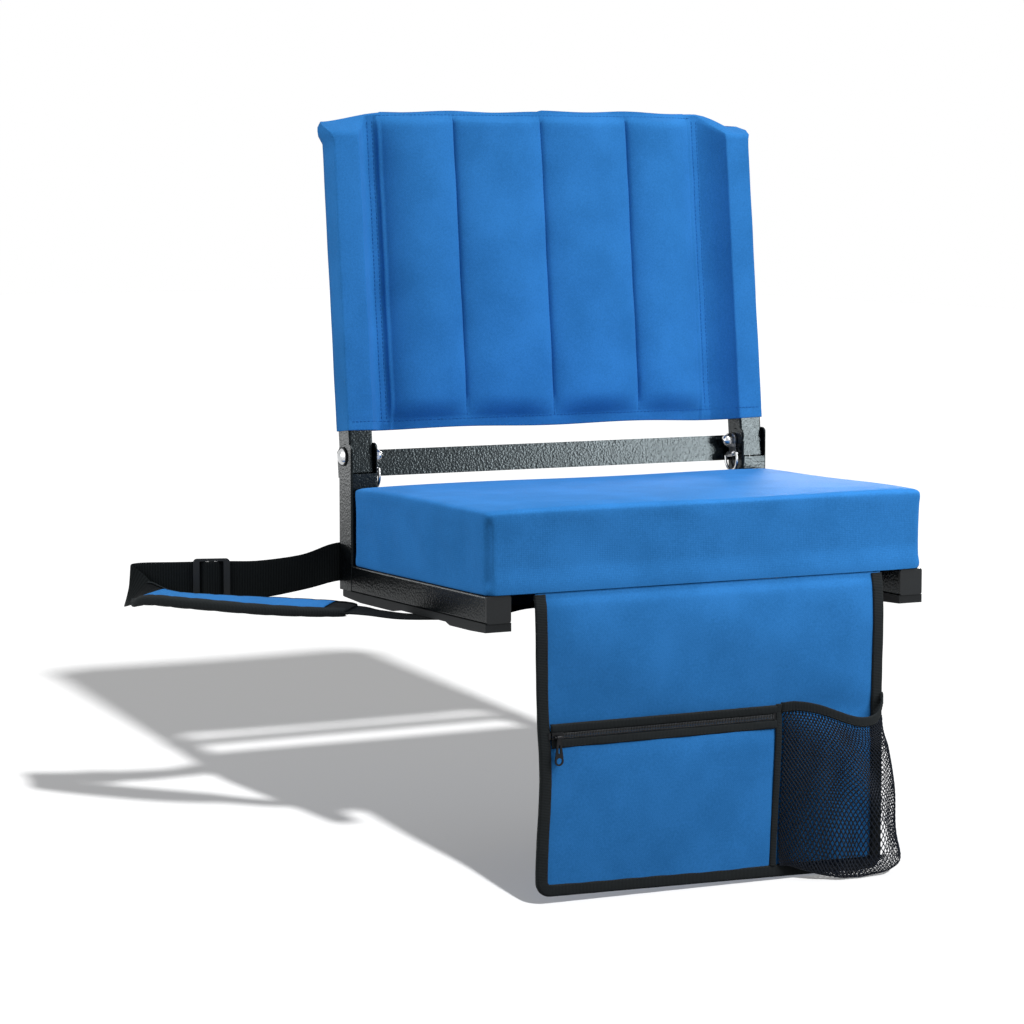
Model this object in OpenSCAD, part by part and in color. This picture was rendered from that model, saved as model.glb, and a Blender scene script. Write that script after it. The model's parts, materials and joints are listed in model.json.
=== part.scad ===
// Folding bleacher seat: steel frame, padded seat, folding sling back,
// hanging pocket flap and shoulder strap.
// Millimetres. X to the sitter's left, Y to the back, Z up.
// The origin is the centre of the seat on the plane of the bench.

/* [Seat frame] */
// Width over the two side tubes
seat_w = 480; // [440:5:520]
// Depth from the front caps to the back of the uprights
seat_d = 310; // [290:5:340]
// Side of the square tube
tube = 25.4; // [24:0.2:27]
// Wall of the square tube
wall = 1.6; // [1.2:0.1:2]
// Wall of the lower uprights and their ears
ear_t = 1.7; // [1.4:0.1:2]
// Thickness of the rubber runners
runner_h = 9; // [7:0.5:12]
// Height of the joint line over the runners
joint_up = 115.4; // [106:0.2:126]
// Height of the pivot over the joint line
pivot_up = 16; // [15:0.5:18]
// Setback of the front cross tube
cross_back = 102; // [90:1:125]

/* [Seat cushion] */
// Height of the cushion
cushion_h = 76; // [55:1:79]
// Rise of the crown in the middle
crown = 2.5; // [0:0.5:4]
// Thickness of the plywood board
board_t = 9; // [7:0.5:12]

/* [Backrest] */
// Recline of the open backrest in degrees
recline = 6; // [4:0.5:8]
// Length of the back tubes over the pivot
back_h = 312; // [290:2:350]
// Height of the lower crossbar
bar_h = 26; // [24:0.5:28]
// Thickness of the lower crossbar
bar_t = 4; // [3:0.5:6]
// Drop of the crossbar under the pivot
bar_drop = 20.4; // [19.5:0.1:22]
// Start of the cover over the pivot
cover_up = 24; // [23:0.5:30]
// Thickness of the sleeves of the cover
sleeve_t = 1.4; // [1:0.1:1.8]
// Rise of the panel over the sleeves
panel_rise = 24; // [18:1:28]
// Depth of the padded channels
channel_d = 8; // [4:0.5:10]

/* [Pocket flap] */
// Width of the flap
flap_w = 382; // [350:2:400]
// Height of the flap
flap_h = 287; // [260:1:310]
// Width of the edge binding
bind_w = 11.5; // [8:0.5:14]
// Drop of the zip band under the top of the flap
zip_drop = 122; // [110:1:135]
// Height of the zip band
zip_h = 19; // [16:0.5:22]
// Distance of the pocket seam from the right edge
net_w = 121; // [105:1:135]
// Depth of the drink pocket
net_d = 32; // [20:1:36]

/* [Shoulder strap] */
// Width of the webbing
strap_w = 38; // [32:1:40]
// Thickness of the webbing
strap_t = 1.8; // [1.4:0.1:2]
// Reach of the strap to the side
strap_reach = 200; // [180:5:220]

/* [Hidden] */
hw = seat_w / 2;
yf = -seat_d / 2;
yb = seat_d / 2;
side_gap = 0.15;
post = tube + 2 * ear_t + 2 * side_gap;
rz = runner_h;
tz = rz + tube;
joint_z = rz + joint_up;
pivot_z = joint_z + pivot_up;
tc = hw - tube / 2 - ear_t - side_gap;
stop_y = tube / 2 * cos(recline) - bar_drop * sin(recline);
pivot_y = yb - stop_y + 0.1;
post_y = yb - post / 2;
side_x = hw - tube / 2;
side_len = seat_d - post;
cush_z = tz + 0.3;
cush_y0 = yf + 0.6;
cush_y1 = yb - post - 2.5;
cush_d = cush_y1 - cush_y0;
cush_yc = (cush_y0 + cush_y1) / 2;
cush_w = seat_w - 1;
skin_t = 1.2;
bolt_r = 4;
half = tube / 2;
sleeve_o = half + side_gap + sleeve_t;
cap_t = 3;
cover_top = back_h + cap_t + 0.3 + sleeve_t;
closure = atan((panel_rise + 2.6) / (2 * sleeve_o - 2));
seam_x = tc - 42;
chan_x = seam_x / 2 + 8;
flap_z = cush_z + 0.9;
flap_y = yf;
flap_bot = flap_z - flap_h;
zip_z = flap_z - zip_drop;
seam_at = flap_w / 2 - net_w;
zip_x0 = -flap_w / 2 + bind_w + 4;
zip_x1 = seam_at - 4;
coil_z = zip_z - 11.5;
ear_r = half - 0.3;
hang_tilt = 8;
hang_l = 14.5;
ring_w = 25;
wire = 3;
board_y = [yf + 45, yb - 75];
screw_y = [yf + 25, yb - 50];
strap_x = -hw + 114;
strap_y = yf + cross_back + half;
strap_z = rz + 27;
arch_y0 = yf + 80;
arch_y1 = yf + 182;

$fn = 48;

// Rounded square seen from above, centred.
module bar2d(w, d, r) {
  union() {
    square([w - 2 * r, d], center = true);
    square([w, d - 2 * r], center = true);
    for (i = [-1, 1]) for (j = [-1, 1]) translate([i * (w / 2 - r), j * (d / 2 - r)]) circle(r);
  }
}

// Square tube standing on Z = 0.
module hollow(w, d, h, t, r) {
  linear_extrude(h) difference() {
    bar2d(w, d, r);
    bar2d(w - 2 * t, d - 2 * t, max(r - t, 0.4));
  }
}

// Rod along X, centred on the point p.
module rod_x(p, r, l) {
  translate(p) rotate([0, 90, 0]) cylinder(h = l, r = r, center = true);
}

// Mirrors a part for the right (+1) or left (-1) side.
module side(s) {
  if (s > 0) children();
  else mirror([1, 0, 0]) children();
}

// Places parts drawn upright on the pivot into the reclined pose.
module back_pose() {
  translate([0, pivot_y, pivot_z]) rotate([-recline, 0, 0]) children();
}

// Closed skin over rings of points with the same count, capped at both ends.
module skin(rings) {
  n = len(rings[0]);
  m = len(rings);
  pts = concat([for (r = rings) for (p = r) p], [mean(rings[0]), mean(rings[m - 1])]);
  sides = [for (k = [0:m - 2]) for (i = [0:n - 1]) for (t = [0, 1])
    let (a = k * n + i, b = k * n + (i + 1) % n, c = a + n, d = b + n)
    t == 0 ? [a, c, b] : [b, c, d]];
  low = [for (i = [0:n - 1]) [m * n, i, (i + 1) % n]];
  top = [for (i = [0:n - 1]) [m * n + 1, (m - 1) * n + (i + 1) % n, (m - 1) * n + i]];
  polyhedron(points = pts, faces = concat(sides, low, top));
}

function mean(r) = [for (k = [0:2]) sum([for (p = r) p[k]]) / len(r)];
function sum(v, i = 0) = i >= len(v) ? 0 : v[i] + sum(v, i + 1);
function unit(v) = v / norm(v);

// Smooth curve through control points: value at u between points 1 and 2.
function spline1(a, b, c, d, u) =
  0.5 * (2 * b + (c - a) * u + (2 * a - 5 * b + 4 * c - d) * u * u + (3 * b - a - 3 * c + d) * u * u * u);
function at(v, i) = v[max(0, min(len(v) - 1, i))];
function spline(v, s) =
  let (i = min(floor(s), len(v) - 2), u = s - i)
  spline1(at(v, i - 1), at(v, i), at(v, i + 1), at(v, i + 2), u);

// Rounded rectangle of n points a corner at height z.
function ring(w, d, r, z, n = 8) = [for (q = [0:3]) for (i = [0:n - 1])
  let (sx = q == 0 || q == 3 ? 1 : -1, sy = q < 2 ? 1 : -1, a = q * 90 + i * 90 / (n - 1))
  [sx * (w / 2 - r) + r * cos(a), sy * (d / 2 - r) + r * sin(a), z]];

// Padded block: soft edges, drawn-in sides and a crowned top.
module pad_block(w, d, h, rise, g) {
  e = 9;
  translate([0, 0, g]) skin(concat(
    [for (k = [0:2]) let (a = k * 30) ring(w - 2 * g - 6 + 6 * sin(a), d - 2 * g - 6 + 6 * sin(a), 13 - g, 3 - 3 * cos(a))],
    [ring(w - 2 * g, d - 2 * g, 14 - g, 3.5)],
    [ring(w - 2 * g - 1.4, d - 2 * g - 1.4, 14 - g, h * 0.5 - g)],
    [for (k = [0:3]) let (a = k * 22.5)
      ring(w - 2 * g - 2 * e * (1 - cos(a)), d - 2 * g - 2 * e * (1 - cos(a)), 14 - g, h - 2 * g - e + e * sin(a))],
    [for (k = [1:4]) let (f = 1 - k * 0.2, c = 1 - f * f)
      ring((w - 2 * g - 2 * e) * f, (d - 2 * g - 2 * e) * f, 12 * f, h - 2 * g + rise * c * 0.9)]
  ));
}

module side_tube() {
  difference() {
    translate([side_x, yf + cap_t, rz + half]) rotate([-90, 0, 0])
      hollow(tube, tube, side_len - cap_t, wall, 2);
    for (y = board_y) {
      translate([side_x, y, rz + half]) cylinder(h = tube, r = 2.1);
      translate([side_x, y, rz - 1]) cylinder(h = 6, r = 4.5);
    }
    for (y = screw_y) translate([side_x, y, rz - 1]) cylinder(h = 6, r = 1.8);
  }
}

module lower_upright(strap_hole) {
  px = hw - post / 2;
  difference() {
    translate([px, post_y, rz]) hollow(post, post, joint_up + pivot_up + 15, ear_t, 2.2);
    translate([px, post_y, joint_z + 50]) cube([post - 2 * ear_t, post + 2, 100], center = true);
    translate([px, post_y + post / 2, joint_z - 3.9 + 25]) cube([post - 2 * ear_t, post, 50], center = true);
    difference() {
      translate([px, post_y, pivot_z + 25]) cube([post + 2, post + 6, 50], center = true);
      rod_x([px, pivot_y, pivot_z], ear_r, post + 4);
      rod_x([px, yb - post + 8, pivot_z + 5.5], 8, post + 4);
      rod_x([px, yb - post + 12.7, pivot_z + 6], 6, post + 4);
    }
    rod_x([px, pivot_y, pivot_z], bolt_r + 0.02, post + 4);
    if (strap_hole) translate([px, yb - 4, strap_z]) rotate([-90, 0, 0]) cylinder(h = 6, r = 2.52);
  }
}

module cross_tube(y, x1) {
  translate([-x1, y, rz + half]) rotate([90, 0, 90]) hollow(tube, tube, 2 * x1, wall, 2);
}

module front_cross_tube() {
  difference() {
    cross_tube(strap_y, hw - tube);
    translate([strap_x, strap_y, rz - 1]) cylinder(h = 5, r = 2.52);
  }
}

// Square plug with a flange, along Z with the flange on top.
module plug(w, t) {
  union() {
    linear_extrude(cap_t) bar2d(w, w, 2.2);
    translate([0, 0, -12]) linear_extrude(12.01) difference() {
      bar2d(w - 2 * t - 0.1, w - 2 * t - 0.1, 1);
      bar2d(w - 2 * t - 3.2, w - 2 * t - 3.2, 0.6);
    }
  }
}

module front_cap() {
  translate([side_x, yf + cap_t, rz + half]) rotate([90, 0, 0]) plug(tube, wall);
}

module foot_cap() {
  w = post - 2 * ear_t - 0.1;
  translate([hw - post / 2, post_y, rz]) difference() {
    linear_extrude(15) bar2d(w, w, 0.5);
    translate([0, 0, 3]) linear_extrude(15) bar2d(w - 3.2, w - 3.2, 0.5);
  }
}

// Runner: thin lifted ends and a shallow arch where the strap passes.
module runner() {
  x0 = side_x - half - 0.6;
  y1 = yb - 10;
  difference() {
    translate([x0, 0, 0]) rotate([90, 0, 90]) linear_extrude(tube + 1.2) polygon([
      [yf + 0.8, 1], [yf + 30, 0], [arch_y0 - 8, 0], [arch_y0, 2.6], [arch_y1, 2.6], [arch_y1 + 8, 0],
      [y1 - 40, 0], [y1 - 2, 2.6], [y1, 3.2], [y1, rz], [yf + 0.8, rz]]);
    for (y = screw_y) {
      translate([side_x, y, -1]) cylinder(h = rz + 2, r = 1.82);
      translate([side_x, y, -1]) cylinder(h = 3.6, r = 3.8);
    }
  }
}

module runner_screws() {
  for (s = [-1, 1]) for (y = screw_y) translate([s * side_x, y, 0]) {
    translate([0, 0, 0.8]) cylinder(h = 1.75, r = 3.6);
    translate([0, 0, 2.5]) cylinder(h = rz + 3 - 2.5, r = 1.78);
  }
}

module seat_board() {
  difference() {
    translate([0, cush_yc, cush_z + skin_t + 0.2]) linear_extrude(board_t) bar2d(cush_w - 14, cush_d - 14, 8);
    for (s = [-1, 1]) for (y = board_y) translate([s * side_x, y, cush_z]) cylinder(h = 7.5, r = 2.02);
  }
}

module board_screws() {
  for (s = [-1, 1]) for (y = board_y) translate([s * side_x, y, 0]) {
    translate([0, 0, tz - wall - 2.4]) cylinder(h = 2.4, r = 4);
    translate([0, 0, tz - wall - 0.01]) cylinder(h = wall + 7.4, r = 2);
  }
}

module cushion_foam() {
  difference() {
    translate([0, cush_yc, cush_z]) pad_block(cush_w, cush_d, cushion_h, crown, skin_t + 0.2);
    translate([0, cush_yc, cush_z]) cube([seat_w * 2, seat_d * 2, 2 * (skin_t + 0.2 + board_t + 0.02)], center = true);
  }
}

module cushion_cover() {
  difference() {
    translate([0, cush_yc, cush_z]) pad_block(cush_w, cush_d, cushion_h, crown, 0);
    translate([0, cush_yc, cush_z]) pad_block(cush_w, cush_d, cushion_h, crown, skin_t);
    for (s = [-1, 1]) for (y = board_y) translate([s * side_x, y, cush_z - 1]) cylinder(h = 5, r = 2.1);
  }
}

// Tape sewn along the front of the cushion that carries the flap.
module flap_tape() {
  w = flap_w / 2 - bind_w - 1;
  translate([-w, flap_y - 1.2, flap_z + 0.9]) cube([2 * w, 1.6, 5]);
}

// Domed bolt from the outside; x is measured outwards from the outer ear.
module pivot_bolt() {
  o = hw + 1.5;
  i = hw - post - 1 - 1.3 - 6;
  translate([0, pivot_y, pivot_z]) union() {
    rod_x([(o + 1 + i) / 2, 0, 0], bolt_r, o + 1 - i);
    intersection() {
      translate([o - 6.6, 0, 0]) sphere(r = 10.4);
      translate([o, -20, -20]) cube(40);
    }
  }
}

module ring_washer(x0, x1, r, b) {
  translate([0, pivot_y, pivot_z]) difference() {
    rod_x([(x0 + x1) / 2, 0, 0], r, abs(x1 - x0));
    rod_x([(x0 + x1) / 2, 0, 0], b, abs(x1 - x0) + 2);
  }
}

module pivot_washers() {
  for (s = [-1, 1]) side(s) {
    ring_washer(hw, hw + 1.5, 9.5, bolt_r + 0.02);
    ring_washer(hw - post, hw - post - 1, 8, bolt_r + 0.02);
  }
}

module pivot_nut() {
  a = hw - post - 2.35;
  translate([0, pivot_y, pivot_z]) difference() {
    union() {
      translate([a - 5.5, 0, 0]) rotate([0, 90, 0]) cylinder(h = 5.5, r = 7, $fn = 6);
      intersection() {
        translate([a - 5, 0, 0]) sphere(r = 5.9);
        rod_x([a - 8, 0, 0], 7, 6.2);
      }
    }
    rod_x([a - 2.3, 0, 0], bolt_r + 0.02, 8.6);
  }
}

// Back tube on the pivot, cut level with the seat at its lower end.
module back_tube() {
  difference() {
    back_pose() translate([tc, 0, -40]) hollow(tube, tube, 40 + back_h, wall, 2);
    translate([tc, pivot_y, joint_z + 1 - 50]) cube([tube + 4, 120, 100], center = true);
    rod_x([tc, pivot_y, pivot_z], bolt_r + 0.05, tube + 4);
  }
}

module back_cap() {
  back_pose() translate([tc, 0, back_h]) plug(tube, wall);
}

module back_crossbar() {
  back_pose() translate([-(tc + half), half, -bar_drop]) cube([2 * (tc + half), bar_t, bar_h]);
}

// Front line of the cover: valleys at the seams, a padded channel between them.
function seam_pos(i) = [-seam_x, -chan_x, 0, chan_x, seam_x][i];
function seam_dep(i) = i == 0 || i == 4 ? sleeve_o - 2 : -1;
function lobe(i, u, g) = [
  seam_pos(i) + (seam_pos(i + 1) - seam_pos(i)) * u,
  seam_dep(i) + (seam_dep(i + 1) - seam_dep(i)) * (i == 0 ? sin(u * 90) : i == 3 ? 1 - cos(u * 90) : u)
    - channel_d * pow(sin(u * 180), 0.8) + g];
steps = 10;
inner_x = tc - sleeve_o;

module cover_section() {
  so = tc + sleeve_o;
  polygon(concat(
    [[-so, sleeve_o], [-so, -sleeve_o + 2], [-so + 2, -sleeve_o], [-inner_x - 2, -sleeve_o], [-inner_x, -sleeve_o + 3],
     [-seam_x - 9, sleeve_o - 2]],
    [for (i = [0:3]) for (k = [0:steps - 1]) lobe(i, k / steps, 0)],
    [[seam_x, sleeve_o - 2], [seam_x + 9, sleeve_o - 2], [inner_x, -sleeve_o + 3], [inner_x + 2, -sleeve_o],
     [so - 2, -sleeve_o], [so, -sleeve_o + 2], [so, sleeve_o]]));
}

module foam_section(i, g) {
  a = seam_pos(i) + 3 + g;
  b = seam_pos(i + 1) - 3 - g;
  intersection() {
    polygon(concat(
      [for (k = [0:steps]) lobe(i, k / steps, 1.2 + g)],
      [[seam_pos(i + 1), sleeve_o - 1.2 - g], [seam_pos(i), sleeve_o - 1.2 - g]]));
    translate([a, -30]) square([b - a, 30 + sleeve_o - 1.2 - g]);
  }
}

module cover_outline(rise) {
  so = tc + sleeve_o + 1;
  top = cover_top;
  polygon([[-so, cover_up], [so, cover_up], [so, top + rise * 0.54], [tc - half, top + rise * 0.8],
           [seam_x, top + rise], [-seam_x, top + rise], [-tc + half, top + rise * 0.8], [-so, top + rise * 0.54]]);
}

module back_cover() {
  back_pose() difference() {
    intersection() {
      linear_extrude(cover_top + 40) cover_section();
      translate([0, 60, 0]) rotate([90, 0, 0]) linear_extrude(120) cover_outline(panel_rise);
    }
    // The top closes in a slope from the front of the sleeves up to the rear edge.
    translate([0, -sleeve_o, cover_top]) rotate([closure, 0, 0])
      translate([-hw - 20, -20, 0]) cube([2 * hw + 40, 100, 60]);
    for (s = [-1, 1]) translate([s * tc, 0, 0])
      linear_extrude(back_h + cap_t + 0.3) bar2d(tube + 2 * side_gap, tube + 2 * side_gap, 2);
    for (i = [0:3]) translate([0, 0, cover_up + 4])
      linear_extrude(cover_top - cover_up - 2) foam_section(i, 0);
  }
}

module back_foam(i) {
  back_pose() translate([0, 0, cover_up + 4.3])
    linear_extrude(cover_top - cover_up - 2.6) foam_section(i, 0.25);
}

// Hanger on the pivot bolt, its lower end curled round the straight side of the ring.
module hang_pose() {
  translate([0, pivot_y, pivot_z]) rotate([-hang_tilt, 0, 0]) children();
}

module ring_hanger() {
  xo = hw - post - 1.05;
  xc = xo - wire / 2 - 1.25;
  hang_pose() difference() {
    union() {
      rod_x([xo - 0.6, 0, 0], 7, 1.2);
      translate([xo - 1.2, -6, -hang_l]) cube([1.2, 12, hang_l]);
      translate([xc, 0, -hang_l]) rotate([90, 0, 0]) cylinder(h = 12, r = wire / 2 + 1.25, center = true);
    }
    rod_x([xo - 0.6, 0, 0], bolt_r + 0.05, 4);
    translate([xc, 0, -hang_l]) rotate([90, 0, 0]) cylinder(h = 14, r = wire / 2 + 0.05, center = true);
  }
}

module d_ring() {
  xc = hw - post - 1.05 - wire / 2 - 1.25;
  r = (ring_w - wire) / 2;
  leg = 6;
  hang_pose() translate([xc, 0, -hang_l]) rotate([0, 0, 90]) union() {
    rotate([0, 90, 0]) cylinder(h = 2 * r, r = wire / 2, center = true);
    for (s = [-1, 1]) translate([s * r, 0, 0]) {
      sphere(r = wire / 2);
      translate([0, 0, -leg]) cylinder(h = leg, r = wire / 2);
    }
    translate([0, 0, -leg]) rotate([-90, 0, 0]) rotate_extrude(angle = 180) translate([r, 0]) circle(wire / 2, $fn = 24);
  }
}

// Outline of the flap seen from the front, moved in by g.
module flap_outline(g, r) {
  w = flap_w / 2 - g;
  union() {
    translate([-w, flap_bot + g + r]) square([2 * w, flap_h - g - r]);
    translate([-w + r, flap_bot + g]) square([2 * w - 2 * r, r + 1]);
    for (s = [-1, 1]) translate([s * (w - r), flap_bot + g + r]) circle(r);
  }
}

// Sheet of the flap between the depths y0 and y1 (negative is forward).
module flap_sheet(y0, y1) {
  translate([0, flap_y + y1, 0]) rotate([90, 0, 0]) linear_extrude(y1 - y0) children();
}

module flap_panel() {
  union() {
    flap_sheet(-1.2, 0) flap_outline(1, 13);
    rod_x([0, flap_y - 0.6, flap_z], 0.6, flap_w - 2);
  }
}

module flap_binding() {
  difference() {
    flap_sheet(-3.6, 0.8) difference() {
      flap_outline(0, 14);
      translate([0, 0.01]) flap_outline(bind_w, 5);
      translate([-flap_w, flap_z - 1.5]) square([flap_w * 2, 10]);
    }
    flap_sheet(-2.75, 0.02) translate([0, 0]) flap_outline(0.98, 13);
  }
}

module zip_pocket() {
  x0 = -flap_w / 2 + 2;
  flap_sheet(-2.7, -1.3) intersection() {
    translate([x0, flap_bot - 5]) square([seam_at - 0.2 - x0, zip_z - zip_h + 1 - flap_bot + 5]);
    flap_outline(1.3, 13);
  }
}

module pocket_seam() {
  flap_sheet(-3.6, -1.25) translate([seam_at, flap_bot + bind_w + 0.2])
    square([8.5, zip_z - flap_bot - bind_w + 2]);
}

module zip_tape() {
  difference() {
    flap_sheet(-3.4, -1.25) translate([-flap_w / 2 + bind_w + 0.2, zip_z - zip_h])
      square([seam_at - 0.2 + flap_w / 2 - bind_w - 0.2, zip_h]);
    flap_sheet(-4, -1.25 - 0.9) translate([-flap_w / 2 + bind_w + 0.1, coil_z - 3.4])
      square([seam_at + flap_w / 2 - bind_w - 0.1, 6.8]);
    flap_sheet(-2.72, -1) translate([-flap_w, zip_z - zip_h - 1]) square([flap_w * 2, 2.05]);
  }
}

module zip_coil() {
  difference() {
    rod_x([(zip_x0 + zip_x1) / 2, flap_y - 3.75, coil_z], 1.55, zip_x1 - zip_x0);
    translate([(zip_x0 + zip_x1) / 2, flap_y - 1.7, coil_z]) cube([zip_x1 - zip_x0 + 2, 1, 6], center = true);
  }
}

module zip_stops() {
  for (x = [zip_x0 - 1.6, zip_x1 + 1.6]) translate([x, flap_y - 3.6, coil_z]) cube([2.6, 2.8, 6], center = true);
}

// Slider round the coil with a bridge for the pull.
module zip_slider() {
  x = zip_x0 + 6.5;
  translate([x, flap_y, coil_z]) union() {
    difference() {
      translate([0, -4.1, 0]) cube([12, 3.7, 6.4], center = true);
      rod_x([0, -3.75, 0], 1.8, 14);
      translate([0, -2.6, 0]) cube([14, 1.6, 3], center = true);
    }
    for (s = [-1, 1]) translate([s * 3.6, -7.25, -1]) cube([1.4, 3, 2], center = true);
    rod_x([0, -8.3, -1], 0.7, 8.6);
  }
}

module zip_pull() {
  translate([zip_x0 + 6.5, flap_y - 8.3, coil_z - 1]) rotate([90, 0, 0]) difference() {
    union() {
      linear_extrude(1.2, center = true)
        polygon([[-2.2, -1], [2.2, -1], [2.4, -6], [4.2, -19], [4.2, -23], [-4.2, -23], [-4.2, -19], [-2.4, -6]]);
      translate([0, -22, 0]) cylinder(h = 1.2, r = 4.5, center = true);
      rotate([0, 90, 0]) cylinder(h = 4.6, r = 1.6, center = true);
    }
    rotate([0, 90, 0]) cylinder(h = 8, r = 0.76, center = true);
    translate([0, -22, 0]) cylinder(h = 4, r = 2.9, center = true);
    translate([0, -11, 0]) cube([1.8, 8, 4], center = true);
  }
}

// Drink pocket: the net hangs from the rim, fullest towards its free side.
net_x0 = seam_at + 8.7;
net_x1 = flap_w / 2 - 0.6;
net_zb = flap_bot + 9;
nu = 18;
nv = 12;
function rim_z(u) = zip_z + 2 - 25 * pow(sin(u * 150), 2) * u - 5 * u;
function net_bulge(u) = net_d * pow(abs(sin(pow(u, 1.6) * 180)), 0.6);
function net_pt(u, v, o) =
  let (z = rim_z(u) - 9 + (net_zb - rim_z(u) + 9) * v,
       full = pow(abs(sin(25 + 155 * v)), 0.5),
       b = net_bulge(u) * full + 0.8 * pow(sin(u * 720), 2) * sin(v * 180),
       base = 1.6 + 2.4 * max(u * u, pow(v, 8)))
  [net_x0 + (net_x1 - net_x0) * u + 16 * sin(pow(u, 3) * 180) * full, flap_y - base - b - o, z];

module sheet_grid(f0, f1) {
  n = nu + 1;
  m = nv + 1;
  pts = concat([for (j = [0:nv]) for (i = [0:nu]) net_pt(i / nu, j / nv, f0)],
               [for (j = [0:nv]) for (i = [0:nu]) net_pt(i / nu, j / nv, f1)]);
  h = n * m;
  fr = [for (j = [0:nv - 1]) for (i = [0:nu - 1]) for (t = [0, 1])
    let (a = j * n + i, b = a + 1, c = a + n, d = c + 1) t == 0 ? [a, b, c] : [b, d, c]];
  bk = [for (q = fr) [q[0] + h, q[2] + h, q[1] + h]];
  ed = concat([for (i = [0:nu - 1]) [i, i + 1]], [for (j = [0:nv - 1]) [(j + 1) * n - 1, (j + 2) * n - 1]],
              [for (i = [nu:-1:1]) [nv * n + i, nv * n + i - 1]], [for (j = [nv:-1:1]) [j * n, (j - 1) * n]]);
  rimf = [for (e = ed) for (t = [0, 1]) t == 0 ? [e[1], e[0], e[0] + h] : [e[1], e[0] + h, e[1] + h]];
  polyhedron(points = pts, faces = concat(fr, bk, rimf));
}

module net_pocket() {
  sheet_grid(0, 0.9);
}

// Flat band along a line of stations [centre, width direction, face direction].
module ribbon(st, w, t) {
  skin([for (s = st) let (c = s[0], a = s[1] * w / 2, b = s[2] * t / 2) [c - a - b, c + a - b, c + a + b, c - a + b]]);
}

module net_rim() {
  ribbon([for (i = [0:24]) let (u = i / 24, p = net_pt(u, 0, 1.25)) [[p[0], p[1], p[2] + 5.2], [0, 0, 1], [0, -1, 0]]], 9.6, 2);
}

// Strap: control points [x, y, z, lean], lean 90 stands on edge and 0 lies flat.
sx = -strap_reach;
run = [
  [-hw + 27, yb + 1.05, strap_z, 90], [-hw + 8, yb + 1.05, strap_z, 90], [-hw - 8, yb + 2.6, strap_z - 1.6, 90],
  [-hw - 36, yb + 11, 26, 75], [-hw - 75, yb + 24, 20, 84],
  [-hw - 108, yb + 34, 19.8, 90], [-hw - 150, yb + 50, 19.6, 88], [-hw + sx * 0.93, yb + 67, 18.8, 80],
  [-hw + sx + 4, yb + 65, 15.4, 58], [-hw + sx + 7, yb + 50, 10.4, 35], [-hw + sx + 20, yb + 32, 7.2, 13]];
lie = [
  [-hw + sx + 20, yb + 32, 7.2, 13], [-hw + sx + 50, yb - 12, 6.2, 5], [-hw - 100, yb - 78, 5.9, 4],
  [-hw - 52, yb - 128, 5.6, 3], [-hw - 34, yb - 147, 3.6, 0], [-hw - 14, yb - 166, 1.2, 0],
  [-hw + 8, yb - 182, 1.15, 0], [-hw + 34, yb - 190, 1.15, 0], [-hw + 66, yb - 194, 3, 0],
  [strap_x - 20, strap_y, rz - strap_t / 2 - 0.7, 0],
  [strap_x + 14, strap_y, rz - strap_t / 2 - 0.1, 0]];
path = concat(run, [for (i = [1:len(lie) - 1]) lie[i]]);
function sp(s) = spline(path, s);
function xyz(p) = [p[0], p[1], p[2]];
// The webbing passes in front of the middle bar of the adjuster.
adj_s = 5.3;
function bump(s) = -5.4 * exp(-pow((s - adj_s) / 0.17, 4));
function station(s, o = 0) =
  let (p = sp(s), d = unit(xyz(sp(s + 0.02)) - xyz(sp(s - 0.02))),
       up = [0, 0, 1], fl = unit(cross(up, d)), q = p[3],
       w = unit(up * sin(q) + fl * cos(q)), n = unit(cross(d, w)))
  [xyz(p) + n * (bump(s) + o), w, n];
last = len(path) - 1;

module strap_webbing() {
  difference() {
    ribbon([for (s = concat([for (i = [0:22]) 0.03 + i * (adj_s - 0.4) / 22],
      [for (i = [1:20]) adj_s - 0.37 + i * 0.037],
      [for (i = [1:66]) adj_s + 0.37 + i * (last - adj_s - 0.4) / 66])) station(s)], strap_w, strap_t);
    translate([strap_x, strap_y, rz - 5]) cylinder(h = 6, r = 2.6);
    translate([-hw + post / 2, yb, strap_z]) rotate([-90, 0, 0]) cylinder(h = 6, r = 2.6);
  }
}

// Padded part of the strap round the webbing.
pad_s0 = 9.1;
pad_s1 = 13.1;
function pad_stn(i, n) = pad_s0 + (pad_s1 - pad_s0) * i / n;
module strap_pad() {
  n = 26;
  difference() {
    skin([for (i = [0:n]) let (u = i / n, e = pow(sin(8 + 164 * u), 0.35), s = station(pad_stn(i, n)),
        w = 29 * e, t = 4.6 * e + 1.2)
      [for (a = [0:15]) let (ca = cos(a * 22.5), sa = sin(a * 22.5))
        s[0] + s[1] * w * sign(ca) * pow(abs(ca), 0.45) + s[2] * t * sign(sa) * pow(abs(sa), 0.6)]]);
    ribbon([for (i = [-2:n + 2]) station(pad_stn(i, n))], strap_w + 1, strap_t + 1);
  }
}

module adj_pose() {
  s = station(adj_s);
  p = s[0] - s[2] * bump(adj_s);
  d = cross(s[1], s[2]);
  multmatrix([[d[0], s[1][0], s[2][0], p[0]], [d[1], s[1][1], s[2][1], p[1]], [d[2], s[1][2], s[2][2], p[2]],
    [0, 0, 0, 1]]) children();
}

module strap_adjuster() {
  adj_pose() translate([0, 0, -2.5]) linear_extrude(2.4, center = true) difference() {
    bar2d(36, strap_w + 6, 4);
    for (s = [-1, 1]) translate([s * 6.9, 0]) bar2d(9.8, strap_w + 0.8, 1);
  }
}

module screw(d, l, hd, hh) {
  union() {
    cylinder(h = l, r = d / 2);
    translate([0, 0, -hh]) cylinder(h = hh + 0.01, r = hd / 2);
  }
}

module strap_screws() {
  translate([strap_x, strap_y, rz - strap_t - 0.25]) screw(5, 6, 11, 2);
  translate([-hw + post / 2, yb + strap_t + 0.15, strap_z]) rotate([90, 0, 0]) screw(5, 7, 11, 2);
}

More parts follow.
